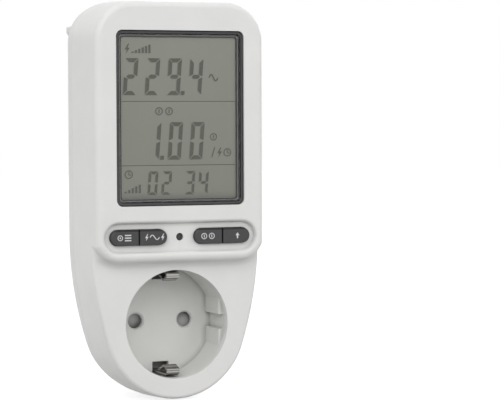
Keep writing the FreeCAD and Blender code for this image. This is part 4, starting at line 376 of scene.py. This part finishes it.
def clear_window(name):
    """Clear acrylic window: it lets the display through and mirrors at low angles."""
    material, tree, shader = new_material(name)
    tree.nodes.remove(shader)
    output = tree.nodes["Material Output"]
    clear = tree.nodes.new("ShaderNodeBsdfTransparent")
    clear.inputs["Color"].default_value = (0.97, 0.975, 0.97, 1.0)
    gloss = tree.nodes.new("ShaderNodeBsdfGlossy")
    rough = spread(tree, noise(tree, cells=400.0), 0.03, 0.09)
    tree.links.new(rough, gloss.inputs["Roughness"])
    fresnel = tree.nodes.new("ShaderNodeFresnel")
    fresnel.inputs["IOR"].default_value = 1.35
    mix = tree.nodes.new("ShaderNodeMixShader")
    tree.links.new(fresnel.outputs["Fac"], mix.inputs["Fac"])
    tree.links.new(clear.outputs["BSDF"], mix.inputs[1])
    tree.links.new(gloss.outputs["BSDF"], mix.inputs[2])
    tree.links.new(mix.outputs["Shader"], output.inputs["Surface"])
    return material


def seen_directly(tree):
    """One for rays from the camera, gloss and clear pieces, zero for rays that light the object."""
    path = tree.nodes.new("ShaderNodeLightPath")
    total = path.outputs["Is Camera Ray"]
    for name in ("Is Glossy Ray", "Is Transmission Ray"):
        node = tree.nodes.new("ShaderNodeMath")
        node.operation = "MAXIMUM"
        tree.links.new(total, node.inputs[0])
        tree.links.new(path.outputs[name], node.inputs[1])
        total = node.outputs["Value"]
    return total


def backdrop_white(name):
    """Pale floor that stays white to the camera and sends little light back up."""
    material, tree, shader = new_material(name)
    shader.inputs["Base Color"].default_value = (FLOOR_SHADE, FLOOR_SHADE, FLOOR_SHADE, 1.0)
    shader.inputs["Roughness"].default_value = 0.9
    shader.inputs["Emission Color"].default_value = (1.0, 1.0, 1.0, 1.0)
    level = ramp(tree, seen_directly(tree), 0.0, 1.0, 0.0, FLOOR_GLOW)
    tree.links.new(level, shader.inputs["Emission Strength"])
    return material


MATERIALS = {
    "housing": moulded_plastic("housing_plastic", (0.80, 0.80, 0.785), 0.42, glow=0.15),
    "cover": moulded_plastic("cover_plastic", (0.78, 0.78, 0.765), 0.45, glow=0.15),
    "insert": moulded_plastic(
        "insert_plastic", (0.74, 0.74, 0.72), 0.34, grain=0.006, corner_shade=0.5, reach=2.0),
    "white_plastic": moulded_plastic(
        "inner_plastic", (0.72, 0.72, 0.70), 0.45, corner_shade=0.85, reach=9.0),
    "black_plastic": moulded_plastic("black_plastic", (0.018, 0.018, 0.020), 0.42),
    "key_cap": key_plastic("key_plastic", (0.040, 0.040, 0.042)),
    "rubber_part": moulded_plastic("silicone_rubber", (0.045, 0.045, 0.048), 0.62, cloud=0.08),
    "bezel": polished_black("bezel_plastic", (0.042, 0.042, 0.043), 0.14),
    "window": clear_window("window_acrylic"),
    "display_glass": display_face("display_face"),
    "reflector": display_face("display_reflector"),
    "board": board_lacquer("board_lacquer"),
    "contact": metal("contact_brass", (0.72, 0.56, 0.27), 0.30),
    "plated": metal("nickel_plating", (0.66, 0.65, 0.61), 0.22),
    "steel": metal("zinc_plating", (0.58, 0.58, 0.60), 0.32, brushed=(1.0, 0.05, 1.0)),
    "can": metal("drawn_aluminium", (0.70, 0.71, 0.72), 0.35),
    "component_blue": moulded_plastic("dipped_coating", (0.03, 0.09, 0.30), 0.30),
    "component_yellow": moulded_plastic("capacitor_box", (0.62, 0.42, 0.05), 0.35),
    "sleeve": moulded_plastic("shrink_sleeve", (0.03, 0.20, 0.07), 0.30),
}
INK = display_ink("display_ink", (0.114, 0.115, 0.092))
# Painted shadow that the segments cast on the reflector
SEGMENT_SHADOW = display_ink("display_segment_shadow", (0.295, 0.297, 0.252))
# Light grey bead: a painted highlight along the bezel's edge, with real gloss
HIGHLIGHT_BEAD = polished_black("bezel_highlight_bead", (0.36, 0.36, 0.36), 0.22)
KEY_PRINT = display_ink("key_print", (0.62, 0.62, 0.62))


# CAD nodes


def dress_nodes():
    """Each CAD node gets its slot's material, and the earth strap a ribbed one of its own."""
    slots = {part["node"]: part["material_slot"] for part in frame["record"]["subparts"]}
    for name, node in NODES.items():
        node.data.materials.clear()
        node.data.materials.append(MATERIALS[slots[name]])
    NODES["earth_strap"].data.materials[0] = ribbed_metal("earth_clip", (0.56, 0.55, 0.52), 0.34)


def soften_edges(name, width):
    """Small bevel on a CAD node's sharp edges, over clean flat faces."""
    piece = NODES[name]
    merge = piece.modifiers.new("flat_faces", "DECIMATE")
    merge.decimate_type = "DISSOLVE"
    merge.angle_limit = math.radians(FLAT_BELOW)
    soft = piece.modifiers.new("soft_edges", "BEVEL")
    soft.width = width * MM
    soft.segments = BEVEL_STEPS
    soft.limit_method = "ANGLE"
    soft.angle_limit = math.radians(SHARP_FROM)
    soft.harden_normals = True


# Figures, as lists of outlines with points (x, z) in mm

# Bars of each figure
FIGURES = {"0": "abcdef", "1": "bc", "2": "abdeg", "3": "abcdg", "4": "bcfg", "9": "abcdfg"}


def bar_outlines(wide, tall, bar):
    """The seven bars of a figure, from its lower left corner, by their usual letters."""
    gap, middle, half = FIGURE_GAP, tall / 2, bar / 2
    top = [(gap, tall), (wide - gap, tall), (wide - bar - gap, tall - bar), (bar + gap, tall - bar)]
    upper = [
        (0, tall - gap), (bar, tall - bar - gap), (bar, middle + half + gap / 2), (0, middle + gap)]
    centre = [
        (half + gap, middle), (bar + gap, middle + half), (wide - bar - gap, middle + half),
        (wide - half - gap, middle), (wide - bar - gap, middle - half), (bar + gap, middle - half)]
    return {
        "a": top,
        "b": [(wide - x, z) for x, z in upper],
        "c": [(wide - x, tall - z) for x, z in upper],
        "d": [(x, tall - z) for x, z in top],
        "e": [(x, tall - z) for x, z in upper],
        "f": upper,
        "g": centre,
    }


def number_outlines(text, x, z, wide, tall, bar, step):
    """Outlines of a row of figures that starts at x and stands on z. A full stop takes no step."""
    outlines = []
    lean = math.tan(math.radians(FIGURE_SLANT))
    bars = bar_outlines(wide, tall, bar)
    for sign in text:
        if sign == ".":
            left, shift = x - step + wide + 0.25 * bar, lean * bar
            right, top = left + bar, z + bar
            outlines.append([(left, z), (right, z), (right + shift, top), (left + shift, top)])
            continue
        for key in FIGURES[sign]:
            outlines.append([(x + px + lean * pz, z + pz) for px, pz in bars[key]])
        x += step
    return outlines


# Signs, as lists of outlines round the point (x, z), in mm


def arc_points(x, z, radius, count=28):
    """Points of a circle."""
    angles = [2 * math.pi * step / count for step in range(count)]
    return [(x + radius * math.cos(angle), z + radius * math.sin(angle)) for angle in angles]


def ring(x, z, radius, line):
    """A ring as a closed run of four-sided outlines."""
    outer, inner = arc_points(x, z, radius), arc_points(x, z, radius - line)
    return [[outer[i - 1], outer[i], inner[i], inner[i - 1]] for i in range(len(outer))]


def stroke(x0, z0, x1, z1, line):
    """A straight stroke of a given width."""
    across = Vector((z0 - z1, x1 - x0)).normalized() * line / 2
    return [(x0 + across.x, z0 + across.y), (x0 - across.x, z0 - across.y),
            (x1 - across.x, z1 - across.y), (x1 + across.x, z1 + across.y)]


def slash(x, z, wide, tall, line):
    """Slanting stroke that starts at its lower left end."""
    return [stroke(x, z, x + wide, z + tall, line)]


def bolt(x, z, tall):
    """Lightning flash, a general sign for electric energy, with its points as shares of its height."""
    shape = [
        (0.10, 0.5), (-0.26, -0.08), (-0.03, -0.08), (-0.12, -0.5),
        (0.26, 0.10), (0.03, 0.10), (0.20, 0.5)]
    return [[(x + px * tall, z + pz * tall) for px, pz in shape]]


def coin(x, z, tall):
    """Ring with an upright stroke, a general sign for cost."""
    line, half = tall * 0.12, tall * 0.22
    return ring(x, z, tall * 0.46, line) + [stroke(x, z - half, x, z + half, line * 1.1)]


def arrow_up(x, z, tall):
    """Arrow that points up, a general sign for a higher value."""
    side, half = tall * 0.34, tall * 0.46
    return [[(x - side, z), (x + side, z), (x, z + half)], stroke(x, z - half, x, z, tall * 0.224)]


def dial(x, z, tall):
    """Ring with two hands, a general sign for time."""
    line = tall * 0.12
    long_hand = stroke(x, z, x, z + tall * 0.30, line)
    short_hand = stroke(x, z, x + tall * 0.22, z - tall * 0.10, line)
    return ring(x, z, tall * 0.48, line) + [long_hand, short_hand]


def knob(x, z, tall):
    """Ring with a dot, a general sign for setting."""
    return ring(x, z, tall * 0.44, tall * 0.13) + [arc_points(x, z, tall * 0.13, count=16)]


def wave(x, z, wide, tall, line, count=16):
    """One period of an alternating voltage."""
    shares = [step / count for step in range(count + 1)]
    points = [(x + wide * (share - 0.5), z + tall / 2 * math.sin(2 * math.pi * share))
              for share in shares]
    return [stroke(*start, *end, line) for start, end in zip(points, points[1:])]


def levels(x, z, wide, tall, count):
    """A row of rising bars from its lower left corner, a general sign for a level."""
    step = wide / count
    bar = 0.62 * step
    outlines = []
    for number in range(count):
        left, top = x + step * number, z + tall * (number + 1) / count
        outlines.append([(left, z), (left + bar, z), (left + bar, top), (left, top)])
    return outlines


def lines(x, z, wide, tall):
    """Three short lines, a general sign for a list of settings."""
    places = [z + level * tall / 2 for level in (-0.8, 0.0, 0.8)]
    return [stroke(x - wide / 2, place, x + wide / 2, place, tall * 0.19) for place in places]


# What draws each sign, its place from the middle in mm, and its sizes
DISPLAY_SIGNS = (
    (bolt, -19.2, 24.5, 3.6),
    (levels, -17.6, 23.0, 7.6, 3.0, 6),
    (wave, 13.4, 14.4, 3.4, 2.4, 0.46),
    (coin, -7.4, 2.5, 3.1),
    (coin, -3.6, 2.5, 3.1),
    (coin, 13.3, -6.7, 2.9),
    (slash, 12.6, -14.0, 1.2, 3.6, 0.36),
    (bolt, 15.6, -12.3, 3.5),
    (dial, 18.6, -12.3, 3.1),
    (dial, -18.9, -19.8, 3.2),
    (levels, -20.5, -26.4, 6.6, 3.0, 5),
)
KEY_SIGNS = {
    1: ((knob, -1.5, 0.0, SIGN_TALL), (lines, 1.4, 0.0, 2.4, SIGN_TALL)),
    2: ((bolt, -3.0, 0.0, SIGN_TALL * 1.1), (wave, 0.0, 0.0, 3.6, SIGN_TALL * 0.7, 0.34),
        (bolt, 3.0, 0.0, SIGN_TALL * 1.1)),
    3: ((coin, -1.45, 0.0, SIGN_TALL * 1.05), (coin, 1.45, 0.0, SIGN_TALL * 1.05)),
    4: ((arrow_up, 0.0, 0.0, SIGN_TALL),),
}


def sign_outlines(signs, middle_x, middle_z):
    """Outlines of a table of signs round a middle."""
    outlines = []
    for draw, x, z, *sizes in signs:
        outlines += draw(middle_x + x, middle_z + z, *sizes)
    return outlines


# Pieces of print and trim


def front_piece(name, shape, material):
    """Object from a shape whose faces are all turned to the front."""
    bmesh.ops.recalc_face_normals(shape, faces=shape.faces)
    for face in shape.faces:
        if face.normal.y > 0:
            face.normal_flip()
    mesh = bpy.data.meshes.new(name)
    shape.to_mesh(mesh)
    shape.free()
    mesh.materials.append(material)
    piece = bpy.data.objects.new(name, mesh)
    bpy.context.scene.collection.objects.link(piece)
    return piece


def flat_marks(name, outlines, depth, material, body, shift=(0.0, 0.0)):
    """One object of flat faces at y = depth, facing the front, from outlines in mm."""
    shape = bmesh.new()
    for outline in outlines:
        places = [((x + shift[0]) * MM, depth, (z + shift[1]) * MM) for x, z in outline]
        shape.faces.new([shape.verts.new(place) for place in places])
    piece = front_piece(name, shape, material)
    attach(piece, body)


def display_marks():
    """What the display shows: rows of figures, two rules and general signs, over a painted shadow of the
    figures and signs.
    """
    low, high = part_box("lcd_rear_glass")
    middle = (low.z + high.z) / 2 / MM
    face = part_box("lcd_front_glass")[0].y - INK_LIFT * MM
    over = face - INK_LIFT * MM
    figures = []
    for text, x, z, wide, tall, bar, step in FIGURE_ROWS:
        figures += number_outlines(text, x, middle + z, wide, tall, bar, step)
    signs = sign_outlines(DISPLAY_SIGNS, 0.0, middle)
    rules = [stroke(-RULE_HALF, middle + level, RULE_HALF, middle + level, RULE_THICK)
             for level in RULE_LEVELS]
    # Painted shadow: a paler copy of the figures and signs, offset down and to the left
    flat_marks("lcd_segment_shadows", figures + signs, face, SEGMENT_SHADOW, "meter", SEGMENT_SHADOW_SHIFT)
    flat_marks("lcd_figures", figures, over, INK, "meter")
    flat_marks("lcd_signs", signs, over, INK, "meter")
    flat_marks("lcd_rules", rules, over, INK, "meter")


def key_signs():
    """Printed sign on each key cap."""
    for number, signs in KEY_SIGNS.items():
        low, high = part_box("key_%d" % number)
        outlines = sign_outlines(signs, (low.x + high.x) / 2 / MM, (low.z + high.z) / 2 / MM)
        depth = low.y - SIGN_LIFT * MM
        flat_marks(
            "key_%d_sign" % number, outlines, depth, KEY_PRINT, "key_%d_body" % number)


def rounded_outline(low, high, inset, radius, steps=4):
    """Points (x, z) round a box's front, drawn in by an inset, with round corners. In metres."""
    points = []
    for turn, (right, up) in enumerate(((1, 1), (-1, 1), (-1, -1), (1, -1))):
        centre_x = (high.x if right > 0 else low.x) - right * (inset + radius)
        centre_z = (high.z if up > 0 else low.z) - up * (inset + radius)
        for step in range(steps + 1):
            angle = math.radians(90 * (turn + step / steps))
            points.append((centre_x + radius * math.cos(angle), centre_z + radius * math.sin(angle)))
    return points


def bezel_highlight_bead():
    """Narrow polished bead that runs round the bezel's ledge, under the clear window. Its light grey
    colour is a painted highlight along the bezel's edge, and its gloss catches the lamps.
    """
    low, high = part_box("display_window")
    shape = bmesh.new()
    rings = []
    for share, rise in ((0.0, 0.0), (0.5, BEAD_RISE), (1.0, 0.0)):
        inset = (BEAD_INSET + BEAD_WIDE * share) * MM
        depth = high.y - rise * MM
        outline = rounded_outline(low, high, inset, BEAD_CORNER * MM)
        rings.append([shape.verts.new((x, depth, z)) for x, z in outline])
    for outer, inner in zip(rings, rings[1:]):
        for step in range(len(outer)):
            shape.faces.new((outer[step - 1], outer[step], inner[step], inner[step - 1]))
    piece = front_piece("bezel_highlight_bead", shape, HIGHLIGHT_BEAD)
    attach(piece, "meter")


# Stage


def floor():
    """Plain floor under the meter's lowest point."""
    bpy.ops.mesh.primitive_plane_add(size=FLOOR_WIDE, location=(0.0, 0.0, CAD_BOX[0].z))
    plane = bpy.context.object
    plane.name = "floor"
    plane.data.materials.append(backdrop_white("floor_white"))


def world():
    """White to the camera, and a softer light for the object."""
    scene_world = bpy.data.worlds.new("studio")
    bpy.context.scene.world = scene_world
    scene_world.use_nodes = True
    tree = scene_world.node_tree
    shade = tree.nodes["Background"]
    shade.inputs["Color"].default_value = (1.0, 1.0, 1.0, 1.0)
    level = ramp(tree, seen_directly(tree), 0.0, 1.0, AMBIENT, 1.0)
    tree.links.new(level, shade.inputs["Strength"])


def lights():
    """Soft lamps round the meter. One of them doesn't show in gloss."""
    for name, place, wide, tall, power in LAMPS:
        lamp = bpy.data.lights.new(name, "AREA")
        lamp.shape = "RECTANGLE"
        lamp.size = wide
        lamp.size_y = tall
        lamp.energy = power
        holder = bpy.data.objects.new(name, lamp)
        holder.location = place
        holder.visible_glossy = name != UNMIRRORED_LAMP
        towards = Vector(LAMP_AIM) - Vector(place)
        holder.rotation_euler = towards.to_track_quat("-Z", "Y").to_euler()
        bpy.context.scene.collection.objects.link(holder)


def camera():
    """Camera at the photograph's viewing angle."""
    yaw, drop, roll = (math.radians(turn) for turn in (CAMERA_YAW, CAMERA_DROP, CAMERA_ROLL))
    forward = Vector((
        math.sin(yaw) * math.cos(drop), math.cos(yaw) * math.cos(drop), -math.sin(drop)))
    right = Vector((math.cos(yaw), -math.sin(yaw), 0.0))
    up = right.cross(forward)
    side = right * math.cos(roll) + up * math.sin(roll)
    head = up * math.cos(roll) - right * math.sin(roll)
    turn = Matrix((side, head, -forward)).transposed().to_4x4()
    data = bpy.data.cameras.new("camera")
    data.lens = CAMERA_LENS
    data.sensor_width = SENSOR_WIDE
    data.clip_start = CAMERA_NEAR
    holder = bpy.data.objects.new("camera", data)
    holder.matrix_world = Matrix.Translation(CAMERA_PLACE) @ turn
    bpy.context.scene.collection.objects.link(holder)
    bpy.context.scene.camera = holder


bpy.context.scene.view_settings.view_transform = "Standard"
dress_nodes()
for name, width in SOFT_EDGES:
    soften_edges(name, width)
display_marks()
bezel_highlight_bead()
key_signs()
floor()
world()
lights()
camera()
